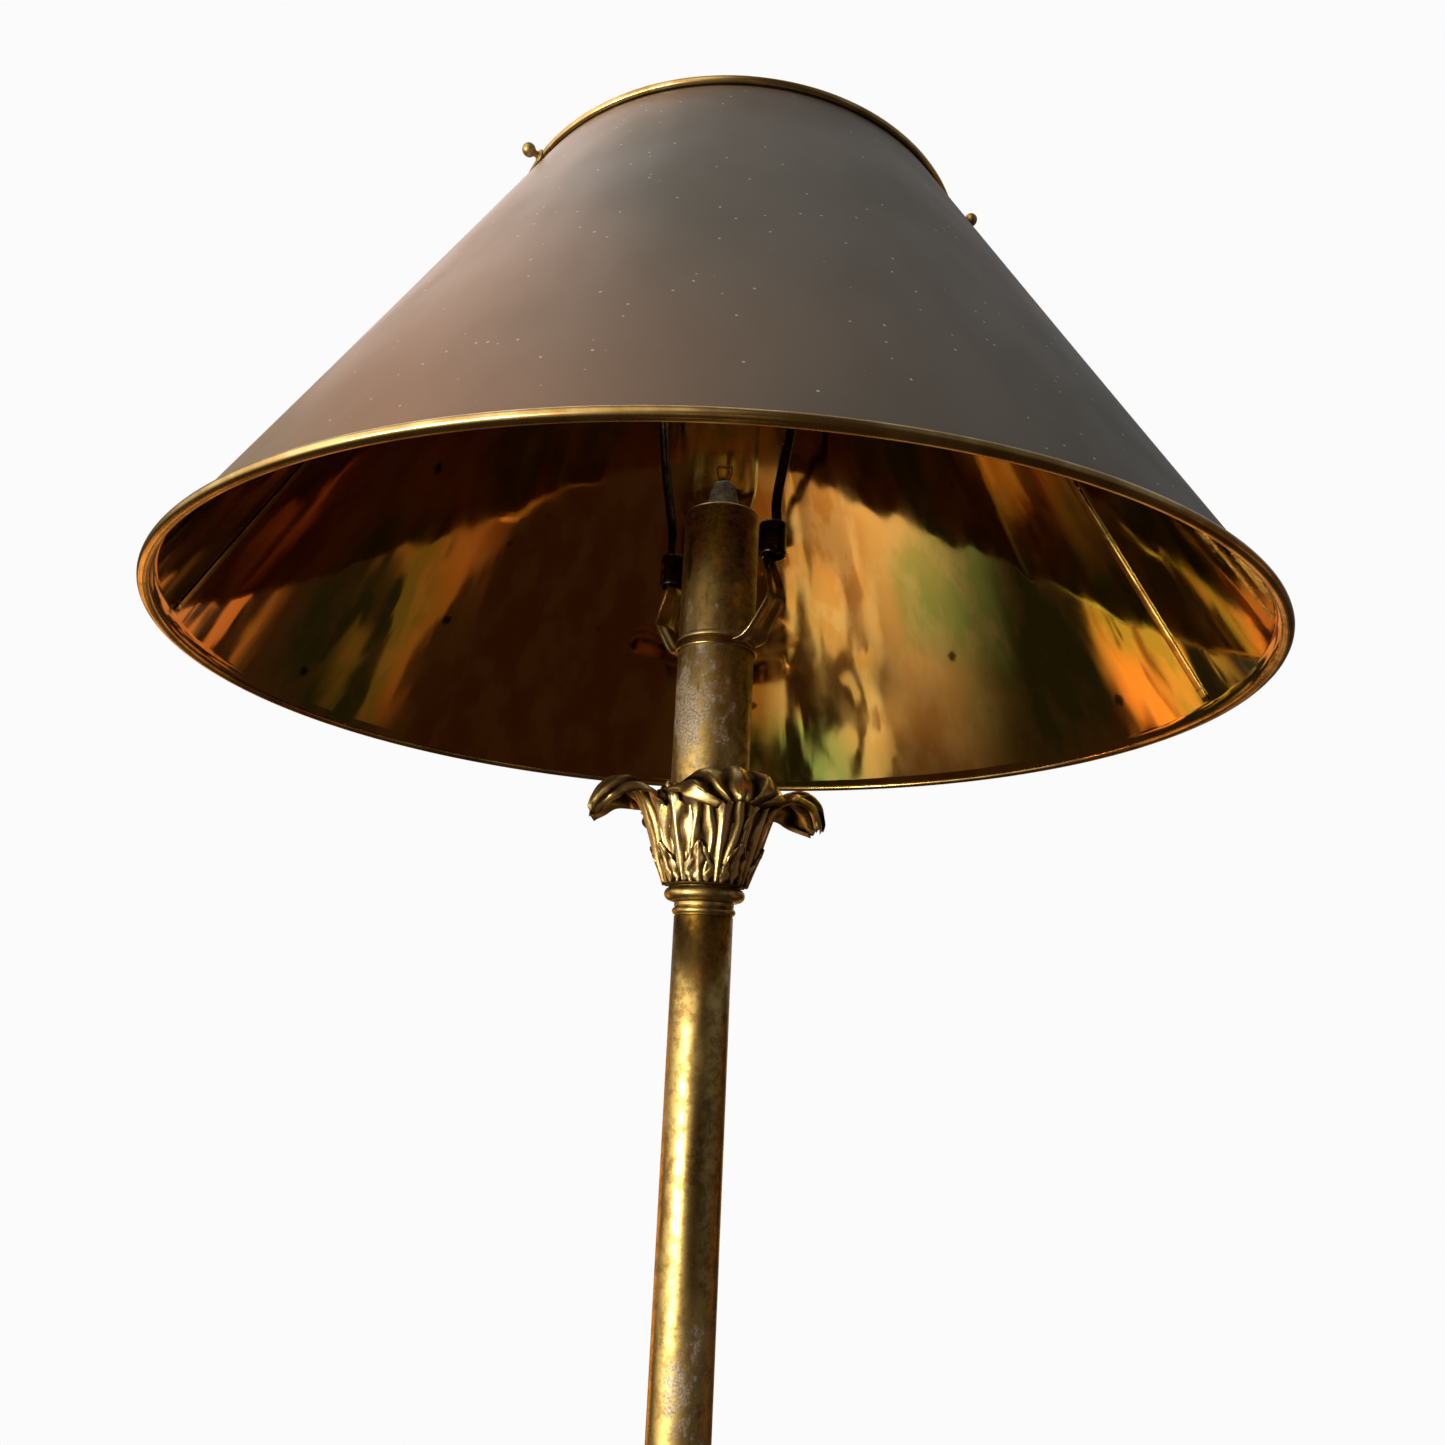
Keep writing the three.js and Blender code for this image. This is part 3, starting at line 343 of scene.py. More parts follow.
def lacquered_brass():
    """Sheet brass, buffed and lacquered, on the shade's inside: almost a mirror, toned orange and olive in broad
    patches, partly aged lacquer and partly painted reflection of a warm and a green surrounding, with small dark
    tarnish spots under it and paler gold streaks up the sheet that are painted reflections. The rolls left faint
    ripples that run up the sheet and pull its reflections into long streaks."""
    s = bpy.context.scene.lamp_finish
    material, tree, shader, place = new_material("brass_sheet_buffed_and_lacquered", Metallic=1.0)
    shader.inputs["Coat Weight"].default_value = 0.2
    shader.inputs["Coat Roughness"].default_value = 0.04
    tone = noise(tree, place, 120, 2, 0.45, (1, 1, 0.5), (0.2, 0.1, 0.0))
    streak = noise(tree, place, 16, 3, 0.55, (1, 1, 0.12))
    # Orange, gold and olive patches: partly aged lacquer, partly painted reflection.
    colour = ramp(tree, tone, [(0.38, "b5752c"), (0.5, s.lining_gold), (0.62, "8d9340")])
    # Painted reflection: paler gold streaks stretched up the sheet.
    colour = mix(tree, spread(tree, streak, 0.42, 0.62, 0.0, 0.35), colour, "e0b468")
    spots = add(tree, "ShaderNodeTexVoronoi", {"Vector": place}, {"Scale": 1 / (46 * MM)}).outputs["Distance"]
    edge = maths(tree, "ADD", spots, maths(tree, "MULTIPLY", noise(tree, place, 5, 3), 0.10))
    tarnish = spread(tree, edge, 0.085, 0.14, 0.85, 0.0)
    feed(shader, "Base Color", mix(tree, tarnish, colour, "2a0f06"))
    feed(shader, "Roughness", spread(tree, streak, 0.3, 0.7, 0.035, 0.10))
    bump(tree, shader, noise(tree, place, 34, 2, 0.4, (1, 1, 0.14)), 0.35, 1.0)
    return material


def painted_sheet():
    """Satin enamel sprayed on sheet metal, warm grey, with a fine orange-peel skin and pale dust specks settled on
    it.
    It is painted redder towards the front left and a darker slate green towards the right: painted light from the
    left, with painted warm and green reflections."""
    s = bpy.context.scene.lamp_finish
    material, tree, shader, place = new_material("satin_enamel_on_sheet", Metallic=0.0)
    shader.inputs["Specular IOR Level"].default_value = 0.25
    split = add(tree, "ShaderNodeSeparateXYZ", {"Vector": place}).outputs
    drift = noise(tree, place, 210, 1, 0.3)
    # Painted light: the colour runs with x across the shade, lit and reddish at the front left, shaded slate green at
    # the right.
    lean = maths(tree, "ADD", maths(tree, "MULTIPLY", split[0], 1.9), spread(tree, drift, 0.0, 1.0, 0.3, 0.7))
    stops = [(0.06, "615f49"), (0.2, "655c4a"), (0.34, s.paint_warm_reflection), (0.56, s.paint_cool_shade), (0.9, "242b20")]
    body = ramp(tree, lean, stops)
    brushed = noise(tree, place, 30, 3, 0.5, (1, 1, 0.4))
    body = mix(tree, spread(tree, brushed, 0.4, 0.7, 0.0, 0.08), body, "2c2925")
    # Painted shadow: a near-black band on the sheet just under the wired top edge, where the wire edge shades it.
    top = span("shade_cone")[1] * MM
    body = mix(tree, spread(tree, split[2], top - 3.4 * MM, top - 2.2 * MM), body, "17120d")
    speck = add(tree, "ShaderNodeTexVoronoi", {"Vector": place}, {"Scale": 1 / (7 * MM)})
    dust = spread(tree, speck.outputs["Distance"], 0.045, 0.09, 0.75, 0.0)
    feed(shader, "Base Color", mix(tree, dust, body, "b7ada0"))
    feed(shader, "Roughness", spread(tree, brushed, 0.3, 0.7, 0.40, 0.46))
    bump(tree, shader, noise(tree, place, 1.6, 2, 0.5), 0.008, 0.3)
    return material


def plain_metal(name, hex_light, hex_dark, rough, size_mm=12.0, depth_mm=0.02):
    """Machined or plated metal: two close tones in soft blotches and a fine tool grain."""
    material, tree, shader, place = new_material(name, Metallic=1.0)
    cloud = noise(tree, place, size_mm, 4, 0.55)
    feed(shader, "Base Color", mix(tree, spread(tree, cloud, 0.35, 0.65), hex_light, hex_dark))
    feed(shader, "Roughness", spread(tree, cloud, 0.3, 0.7, rough * 0.85, rough * 1.2))
    bump(tree, shader, noise(tree, place, 0.8, 2, 0.6), depth_mm, 0.5)
    return material


def dull_solid(name, hex_light, hex_dark, rough, size_mm, depth_mm):
    """Moulded, cast or felted matter: two tones, no metal, and a surface as rough as its making left it."""
    material, tree, shader, place = new_material(name, Metallic=0.0)
    cloud = noise(tree, place, size_mm, 5, 0.6)
    feed(shader, "Base Color", mix(tree, spread(tree, cloud, 0.35, 0.65), hex_light, hex_dark))
    shader.inputs["Roughness"].default_value = rough
    bump(tree, shader, cloud, depth_mm, 0.8)
    return material


def clear_glass():
    """Blown soda glass: clear, with the faintest waviness."""
    material, tree, shader, place = new_material("soda_glass_blown", Metallic=0.0, Roughness=0.0, IOR=1.5)
    shader.inputs["Transmission Weight"].default_value = 1.0
    shader.inputs["Base Color"].default_value = linear("f4f7f6")
    bump(tree, shader, noise(tree, place, 14, 1, 0.4), 0.05, 0.2)
    return material


FINISHES = {
    "antique": antique_brass,
    "cast": cast_brass,
    "lining": lacquered_brass,
    "paint": painted_sheet,
    # Wire edge and saddle: brass polished by hand and gone slightly brown.
    "bright": lambda: plain_metal("brass_hand_polished", "cfb47c", "9a7d48", 0.24, 18, 0.02),
    # Harp wire and ferrules: steel dipped in a dark bronze finish, with worn glints.
    "bronzed": lambda: plain_metal("steel_wire_dark_bronzed", "4c3f2c", "1d1711", 0.28, 6, 0.02),
    "steel": lambda: plain_metal("steel_zinc_plated", "a9abad", "7d7f82", 0.34, 10, 0.02),
    "tungsten": lambda: plain_metal("tungsten_wire_drawn", "7b7873", "565350", 0.4, 3, 0.01),
    "iron": lambda: dull_solid("grey_iron_sand_cast", "3c3c40", "26262a", 0.8, 5, 0.4),
    "rubber": lambda: dull_solid("rubber_moulded", "1b1a1a", "0f0e0e", 0.65, 4, 0.03),
    "felt": lambda: dull_solid("wool_felt_pressed", "2c3a24", "18220f", 0.95, 1.5, 0.5),
    "phenolic": lambda: dull_solid("phenolic_moulded", "211c18", "14100d", 0.4, 8, 0.02),
    "glass": clear_glass,
    # Bulb's mount: glass squeezed hot round the wires, milky with tiny bubbles.
    "pressed": lambda: dull_solid("soda_glass_pressed", "d6d1c4", "a39c8c", 0.15, 3, 0.3),
}
made_finishes = {}


def finish(key):
    if key not in made_finishes:
        made_finishes[key] = FINISHES[key]()
    return made_finishes[key]


# ---------------------------------------------------------------- settings
class LampFinish(bpy.types.PropertyGroup):
    """Colours of the lamp's finishes, as sRGB hex."""
    brass_rubbed: bpy.props.StringProperty(
        name="Rubbed brass", description="Brass where the patina is worn off", default="c2a868")
    brass_brown: bpy.props.StringProperty(
        name="Brown brass", description="Brass where the patina is thin", default="866d3e")
    lining_gold: bpy.props.StringProperty(
        name="Shade lining", description="Middle tone of the lacquered inside", default="cf9a4a")
    # The warm and cool paint colours are painted light: the warm one is a painted warm reflection at the front left,
    # the cool one painted shade at the right.
    paint_warm_reflection: bpy.props.StringProperty(
        name="Paint, warm side", description="Enamel towards the front left", default="7c5f4d")
    paint_cool_shade: bpy.props.StringProperty(
        name="Paint, cool side", description="Enamel towards the right", default="4c4944")
    patina: bpy.props.FloatProperty(
        name="Patina", description="How far the grey patina covers the brass", default=0.75, min=0, max=1,
        subtype="FACTOR")


class LampSizes(bpy.types.PropertyGroup):
    """Depths of the hand-made detail that the frame doesn't hold."""
    sheet_wave: bpy.props.FloatProperty(
        name="Sheet waviness", description="Height of the dents in the shade's sheet, in mm", default=0.55, min=0)
    leaf_droop: bpy.props.FloatProperty(
        name="Leaf droop", description="How far the leaves' edges hang below their midribs, in mm", default=6.5)
    vein_depth: bpy.props.FloatProperty(
        name="Vein depth", description="Depth of the carving on the leaves, in mm", default=1.0, min=0)


class LampCamera(bpy.types.PropertyGroup):
    """Where the camera stands, measured from the middle of the shade's lower edge."""
    distance: bpy.props.FloatProperty(
        name="Distance", description="In front of the column", default=0.4537, unit="LENGTH")
    drop: bpy.props.FloatProperty(
        name="Drop", description="Below the shade's lower edge", default=0.1357, unit="LENGTH")
    pitch: bpy.props.FloatProperty(
        name="Pitch", description="Upward tilt", default=0.257, subtype="ANGLE")
    yaw: bpy.props.FloatProperty(name="Yaw", description="Turn to the right", default=0.0096, subtype="ANGLE")
    roll: bpy.props.FloatProperty(name="Roll", description="Lean of the camera", default=0.0456, subtype="ANGLE")
    lens: bpy.props.FloatProperty(
        name="Lens", description="Focal length for a 36 mm sensor", default=26.0, unit="CAMERA")


# ---------------------------------------------------------------- operators, one for each group of pieces
class FinishHiddenParts(bpy.types.Operator):
    """Gives the parts that keep their CAD shape their finishes: weight, felt, nuts, pipe and socket insides."""
    bl_idname = "lamp.finish_hidden_parts"
    bl_label = "Finish hidden parts"

    def execute(self, context):
        looks = {
            "iron": ["base_weight"],
            "felt": ["base_felt"],
            "rubber": ["cord_grommet"],
            "steel": ["base_washer", "base_nut", "lamp_pipe", "saddle_nut"],
            "antique": ["tube_bushing", "socket_bushing"],
            "phenolic": ["socket_body", "bulb_insulator"],
            "bright": ["terminal_screw_left", "terminal_screw_right", "socket_shell", "socket_contact",
                       "bulb_contact"],
        }
        for look, nodes in looks.items():
            for node in nodes:
                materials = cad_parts[node].data.materials
                materials.clear()
                materials.append(finish(look))
        return {"FINISHED"}


class SpinBase(bpy.types.Operator):
    """Spins the base shell: a stepped edge, a long ogee and a raised boss, a thin wall all the way."""
    bl_idname = "lamp.spin_base"
    bl_label = "Spin base shell"

    def execute(self, context):
        r, (low, high) = radius_of("base_shell"), span("base_shell")
        bore, wall = 5.2, 1.6
        foot = radius_of("stem_foot")
        ogee = smooth([[r - 9.4, low + 16.3], [r - 18, low + 16.9], [r - 45, low + 20.8], [r - 75, high - 9.5],
                       [foot + 15, high - 4], [foot + 12.6, high - 3.6]], 40).tolist()
        outside = [[r, low], [r, low + 10.9], [r - 1.4, low + 12.3], [r - 8, low + 12.8], *ogee,
                   [foot + 11.6, high], [bore, high]]
        inside = [[x - wall, max(y - wall, low)] for x, y in outside[:-1]][::-1]
        outline = outside + [[bore, high - wall]] + inside
        make("base_spinning", [turned(eased(outline, 0.7, 3), 200)], "antique", "column", "base_shell")
        return {"FINISHED"}


class TurnColumn(bpy.types.Operator):
    """Turns the column's pieces: foot, stem, collar, ring, upper tube and the bulb holder's sleeve."""
    bl_idname = "lamp.turn_column"
    bl_label = "Turn column"

    def execute(self, context):
        stem, bore, tube_wall = radius_of("stem_tube"), 5.15, 1.2
        low, high = span("stem_foot")
        foot = [[bore, low], [21, low], [21, low + 2.4], *smooth(
            [[20.4, low + 3.0], [19.6, low + 3.6], [16.4, low + 9], [15.6, low + 19]], 14).tolist(),
            *bulged(stem + 4.4, low + 20, low + 24), [stem + 2.2, high - 1.6], [stem + 1.8, high],
            [stem + 0.3, high], [stem + 0.3, low + 5.7], [bore, low + 5.7]]
        make("stem_foot_turning", [turned(eased(foot, 0.5, 3))], "antique", "column", "stem_foot")

        low, high = span("stem_tube")
        rows = np.linspace(low, high, 24)
        tube = [[stem, z] for z in rows] + [[stem - tube_wall, z] for z in rows[::-1]]
        make("stem_tubing", [turned(tube)], "antique", "column", "stem_tube")

        low, high = span("stem_collar")
        seat = high - 5.7
        collar = [[bore, low], [stem - 1.5, low], [stem - 1.5, seat], [stem, seat],
                  *bulged(13.7, seat + 0.4, seat + 3.4), [12.9, seat + 3.8], [12.9, high], [bore, high]]
        make("stem_collar_turning", [turned(eased(collar, 0.35, 3))], "antique", "column", "stem_collar")

        low, high = span("capital_ring")
        ring = [[bore, low], [14.6, low], *bulged(radius_of("capital_ring"), low + 0.2, high - 0.2, 18),
                [14.8, high], [bore, high]]
        make("capital_ring_turning", [turned(eased(ring, 0.3, 3))], "antique", "column", "capital_ring")

        low, high = span("upper_tube")
        tube_radius = radius_of("upper_tube")
        tube = [[tube_radius, low], [tube_radius, high], [tube_radius - tube_wall, high],
                [tube_radius - tube_wall, low]]
        make("upper_tubing", [turned(eased(tube, 0.3, 3))], "antique", "column", "upper_tube")

        low, high = span("socket_sleeve")
        sleeve = [[16.5, low], [18.1, low], [18.1, low + 1.5], [17.6, low + 2], [17.4, low + 2.2],
                  [17.4, high - 1.2], [16.9, high - 0.3], [16.0, high], [15.1, high], [15.1, high - 0.9],
                  [16.5, high - 0.9]]
        make("holder_sleeve", [turned(eased(sleeve, 0.4, 3))], "antique", "column", "socket_sleeve")
        return {"FINISHED"}


def cast_leaf(azimuth, rib, half_widths, droop, depth, veins, ruffle, low, columns, rows, wall=1.8):
    """One cast leaf. Along it (v) the rib is a smooth (radius, height) curve, cut back towards its sides by
    0.12*|u|^2.5 so that its end is rounded; across it (u from -1 to 1) the surface wraps round the axis by
    u*width/radius. Each side is the rib moved along its normal by half the wall plus the carving: a midrib
    bump exp(-(u/0.09)^2) and wavy cosine veins side by side. The edges hang by droop*u^2 and wave by a
    sine. Returns the closed grid and how hollow each point is."""
    curve = smooth(rib, rows)
    run = np.gradient(curve, axis=0)
    run /= np.linalg.norm(run, axis=1)[:, None]
    v = np.linspace(0, 1, rows)
    widths = smooth(np.stack([np.linspace(0, 1, len(half_widths)), half_widths], 1), rows)[:, 1][:, None]
    u = np.concatenate([np.linspace(-1, 1, columns), np.linspace(1, -1, columns)])[None]
    side = np.concatenate([np.full(columns, 1.0), np.full(columns, -1.0)])[None]
    along = v[:, None] * (1 - 0.12 * np.abs(u) ** 2.5 + 0.02 * np.cos(6 * np.pi * u))
    along = np.clip(along, 0, 1)
    r, z, run_r, run_z = (np.interp(along, v, values) for values in (*curve.T, *run.T))
    v = v[:, None]

    late = np.clip((v - 0.35) / 0.3, 0, 1) ** 2 * (3 - 2 * np.clip((v - 0.35) / 0.3, 0, 1))
    scallop = 1 + 0.06 * late * np.cos(2 * np.pi * (4.2 * v + 0.15)) * (np.abs(u) > 0.5)
    sway = 0.22 * np.sin(2 * np.pi * (1.7 * v + 0.6 * u + 3 * azimuth)) + 0.1 * np.sin(2 * np.pi * (4.1 * v - u))
    fan = 2 * np.pi * (veins * np.abs(u) ** 0.9 - 0.35 * v + sway)
    ridge = np.sign(np.cos(fan)) * np.abs(np.cos(fan)) ** 0.8
    carving = depth * (0.8 * np.exp(-((u / 0.09) ** 2)) + 0.55 * ridge * (1 - np.exp(-((u / 0.14) ** 2))))
    taper = np.sqrt(np.clip(1 - np.abs(u) ** 6, 0.02, 1)) * np.clip((1 - v) / 0.04, 0.25, 1)
    offset = side * (wall / 2 * taper) + carving * side * taper
    offset = offset + ruffle * late * np.sin(np.pi * (3.4 * u + 2 * v)) * np.abs(u) ** 1.5

    angle = azimuth + u * widths * scallop / np.maximum(r, 1)
    z = low + z - run_r * offset - droop * late * u**2 - 0.2 * droop * late * np.abs(u) ** 4
    r = r + run_z * offset
    points = np.stack([r * np.cos(angle), r * np.sin(angle), z], -1)
    hollow = 0.36 - 0.5 * carving / max(depth, 1e-6) + 0.25 * (np.abs(u) > 0.93) * (v < 0.6)
    hollow = hollow + 0.1 * (side < 0) * late + 0.25 * np.exp(-((v / 0.08) ** 2))
    return (points, False, True), np.clip(hollow, 0, 1.2)


class CastCapital(bpy.types.Operator):
    """Casts the leaf capital: a fluted cup, eight small leaves at its neck, four between, four that curl over."""
    bl_idname = "lamp.cast_capital"
    bl_label = "Cast leaf capital"

    def execute(self, context):
        sizes = context.scene.lamp_sizes
        low = span("leaf_capital")[0]
        front_leaf, flutes = np.radians(-76), 22
        grids, hollows = [], []

        cup = eased([[5.2, 0], [16.6, 0], [17.0, 2.0], [18.2, 4.4], [21.2, 13], [24.4, 24], [26.2, 33], [26.6, 39],
                     [25, 39], [22.4, 33], [18.2, 26], [17.6, 12.4], [5.2, 12.4]], 0.8, 5)
        grid, wrap_u, wrap_v = turned(cup, 288)
        turn = np.arctan2(grid[..., 1], grid[..., 0])
        height = grid[..., 2]
        sway = 0.05 * np.sin(0.3 * height + 3 * turn) + 0.03 * np.sin(0.9 * height + 7 * turn)
        flute = np.cos(flutes * (turn + sway)) * np.clip((height - 2) / 6, 0, 1)
        outside = np.hypot(grid[..., 0], grid[..., 1]) > 16.5
        push = 1 + 0.8 * flute * outside / 22
        grid = scaled((grid, wrap_u, wrap_v), push, push)[0] + np.array([0, 0, low])
        grids.append((grid, wrap_u, wrap_v))
        hollows.append(0.55 - 0.42 * flute)

        kinds = [
            # number, grid, turn from the front leaf, rib, half widths, droop, carving, veins, ruffle
            (4, (43, 84), 0.0,
             [[17.0, 1.2], [19.2, 7], [22.4, 16], [25.4, 25.4], [28.4, 33.4], [32.4, 39.8], [37.6, 43.2],
              [43.0, 43.2], [47.8, 39.6], [50.6, 34], [51.6, 29.4]],
             [9.5, 11, 13, 15, 17.5, 20.5, 23.5, 25.5, 24.5, 20, 9], sizes.leaf_droop, 1.35, 2.6, 1.1),
            (4, (33, 60), np.pi / 4,
             [[17.0, 1.2], [19.8, 9], [23.6, 20], [27.0, 30], [29.2, 35.6], [32.0, 38.6], [34.2, 38.6]],
             [6.5, 8.5, 10.5, 11, 9.5, 7.5, 4], 1.5, 1.1, 1.8, 0.6),
            (8, (25, 40), np.pi / 8, [[17.6, 0.8], [19.2, 5], [21.2, 10], [23.0, 14.4], [24.4, 17.6]],
             [6.0, 6.6, 6.0, 4.2, 1.6], 0.6, 0.45, 1.6, 0.2),
        ]
        for count, (columns, rows), start, rib, half_widths, droop, depth, veins, ruffle in kinds:
            for k in range(count):
                leaf, hollow = cast_leaf(front_leaf + start + 2 * np.pi * k / count, rib, half_widths, droop,
                                         depth * sizes.vein_depth, veins, ruffle, low, columns, rows)
                grids.append(leaf)
                hollows.append(hollow)
        hollow = np.concatenate([h.reshape(-1) for h in hollows])
        make("leaf_capital_casting", grids, "cast", "column", "leaf_capital", hollow=hollow)
        return {"FINISHED"}


class FormHarp(bpy.types.Operator):
    """Forms the harp: a saddle plate with two bent feet, bronzed wire, ferrules, top boss and stud."""
    bl_idname = "lamp.form_harp"
    bl_label = "Form harp"

    def execute(self, context):
        right = middle_of("harp_ferrule_right")
        azimuth, distance = azimuth_of("harp_ferrule_right"), float(np.hypot(right.x, right.y))
        low, high = span("harp_saddle")
        seat = low + 2.0
        plate = turned(eased([[5.2, seat], [17.6, seat], [17.6, low], [18.7, low], [18.7, seat + 2.2],
                              [5.2, seat + 2.2]], 0.55, 4))
        tang = distance - 1.5
        rib = smooth([[12, 1.1], [19.4, 1.1], [24.6, 3.8], [30.4, 11.4], [34.2, 17.2], [34.9, 20.6], [33.8, 26],
                      [tang + 0.8, 33.6], [tang, 38.4], [tang, high - seat]], 70)
        path = np.stack([rib[:, 0], 0 * rib[:, 0], seat + rib[:, 1]], 1)
        width = np.interp(rib[:, 1], [0, 3, 14, 24, 36, 39], [15.5, 15, 13, 11.5, 10.5, 8])[:, None, None]
        # The strap's section is a rounded bar with a rib pressed along its middle.
        bar = rounded_bar(1.0, 1.8, 44)
        bar[:, 1] -= 0.9 * np.exp(-((bar[:, 0] / 0.17) ** 2))
        section = bar[None] * np.concatenate([width, 1 + 0 * width], -1)
        foot = carried(path, section)
        feet = [spun(foot, azimuth + turn) for turn in (0, np.pi)]
        make("harp_saddle_pressing", [plate, *feet], "bright", "column", "harp_saddle")

        bottom, seat = span("harp_bow")
        boss = 5.2  # thickness of the eye at the harp's top
        straight, middle = span("harp_ferrule_right")[1] + 14, seat - boss / 2
        climb = middle - straight
        wire_radius, out = 2.3, distance + 2.2
        arm = [[out, bottom], [out, (bottom + straight) / 2], [out, straight], [out + 7, straight + 0.25 * climb],
               [45.1, straight + 0.47 * climb], [48.5, straight + 0.64 * climb], [44.5, straight + 0.83 * climb],
               [32, straight + 0.95 * climb], [14.5, middle - 0.6]]
        whole = smooth([*arm, [0, middle], *[[-r, z] for r, z in arm[::-1]]], 200)
        path = np.stack([whole[:, 0], 0 * whole[:, 0], whole[:, 1]], 1)
        top = turned(eased([[3.4, seat - boss], [6.5, seat - boss], [6.5, seat], [3.4, seat]], 0.6, 4), 64)
        make("harp_wire", [spun(carried(path, circle(wire_radius)), azimuth), top], "bronzed", "column", "harp_bow")

        low, high = span("harp_ferrule_right")
        for name, turn in (("right", 0), ("left", np.pi)):
            outline = eased([[5.0, low], [5.9, low], [6.2, low + 1], [6.2, high - 1.5], [5.8, high], [5.0, high]],
                            0.5, 4)
            place = distance * np.cos(azimuth + turn), distance * np.sin(azimuth + turn)
            make(f"harp_ferrule_sleeve_{name}", [moved(turned(outline, 64), *place)], "bronzed",
                 f"{name}_ferrule", f"harp_ferrule_{name}")

        low, high = span("harp_stud")
        threads = np.arange(high - 14, high - 1, 0.45)
        stud = [[0, low], [3.6, low + 0.2], [5, low + 1], [5, low + 1.8], [3.0, low + 1.9],
                *[[3.08 - 0.3 * (i % 2), z] for i, z in enumerate(threads)], [2.4, high], [0, high]]
        make("harp_stud_turning", [turned(eased(stud, 0.1, 2), 48)], "bright", "column", "harp_stud")
        return {"FINISHED"}


class BlowBulb(bpy.types.Operator):
    """Makes the bulb: clear envelope with an even wall, glass mount, threaded cap, filament, and the key."""
    bl_idname = "lamp.blow_bulb"
    bl_label = "Blow bulb"

    def execute(self, context):
        low, high = span("bulb_envelope")
        foot = span("bulb_contact")[0]
        outside = smooth([[12.35, 19], [12.35, 33], [12.6, 44], [15.2, 54], [16, 62], [16, 80], [16, 101],
                          [14.4, 110], [8, 116.4], [0, 118]], 70)
        outside[-1, 0] = 0
        run = np.gradient(outside, axis=0)
        run /= np.linalg.norm(run, axis=1)[:, None]
        inside = outside - 0.7 * np.stack([run[:, 1], -run[:, 0]], 1)
        inside[-1, 0] = 0
        inside[0, 1] = outside[0, 1]
        outline = np.vstack([outside, inside[::-1]]) + [0, foot]
        make("bulb_glass", [turned(outline, 96)], "glass", "bulb", "bulb_envelope")

        # The mount: a round flare pressed flat towards its top, where the wires pass through it.
        mount = smooth([[9.5, 22], [8, 30], [7.4, 44], [6.9, 53], [5.4, 58], [4, 61], [0, 61.4]], 30)
        mount[-1, 0] = 0
        grid, wrap_u, wrap_v = turned(np.vstack([[[0, 22]], mount]) + [0, foot], 48)
        flat = 1 - 0.55 * np.clip((grid[..., 2] - foot - 38) / 16, 0, 1)
        make("bulb_stem_glass", [scaled((grid, wrap_u, wrap_v), 1, flat)], "pressed", "bulb", "bulb_mount")

        ramp_up = np.linspace(5, 24, 120)
        thread = np.stack([12.95 - 0.28 * np.cos(2 * np.pi * ramp_up / 3.6), ramp_up], 1).tolist()
        cap = np.array([[10.6, 2.7], *thread, [13.1, 25.4], [13.15, 26.5], [12.7, 26.5], [12.2, 5.6], [10.2, 3.5]])
        make("bulb_cap_rolled", [turned(cap + [0, foot], 72)], "steel", "bulb", "bulb_cap")

        bottom, top = span("bulb_filament")
        rise = top - bottom
        support = [[-2, 0, 0], [-3.2, 0, 0.4 * rise], [-3.6, 0, 0.86 * rise]]
        along = np.linspace(-3.6, 3.6, 200)
        coil = np.stack([along, 0.8 * np.sin(9 * along), 0.86 * rise + 0.8 * np.cos(9 * along)], 1)
        posts = [smooth(np.array(support) * [side, 1, 1] + [0, 0, bottom], 30) for side in (1, -1)]
        leads = [carried(post, circle(0.35, 8)) for post in posts]
        make("bulb_filament_wire", [*leads, carried(coil + [0, 0, bottom], circle(0.16, 8))],
             "tungsten", "bulb", "bulb_filament")

        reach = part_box("switch_key")[1].y / MM
        shaft = [[0, 9.7], [1.7, 9.7], [1.7, reach - 9], [4.6, reach - 9], [5.3, reach - 7.8], [5.3, reach - 1],
                 [4.4, reach], [0, reach]]
        grid, wrap_u, wrap_v = turned(eased(shaft, 0.4, 4), 96)
        x, y = grid[..., 0], grid[..., 1]
        knurl = 1 + 0.03 * np.cos(24 * np.arctan2(y, x)) * (np.hypot(x, y) > 4)
        key = scaled((grid, wrap_u, wrap_v), knurl, knurl)
        make("switch_key_knurled", [laid(key, np.pi / 2, middle_of("switch_key").z)], "bright", "switch",
             "switch_key")
        return {"FINISHED"}


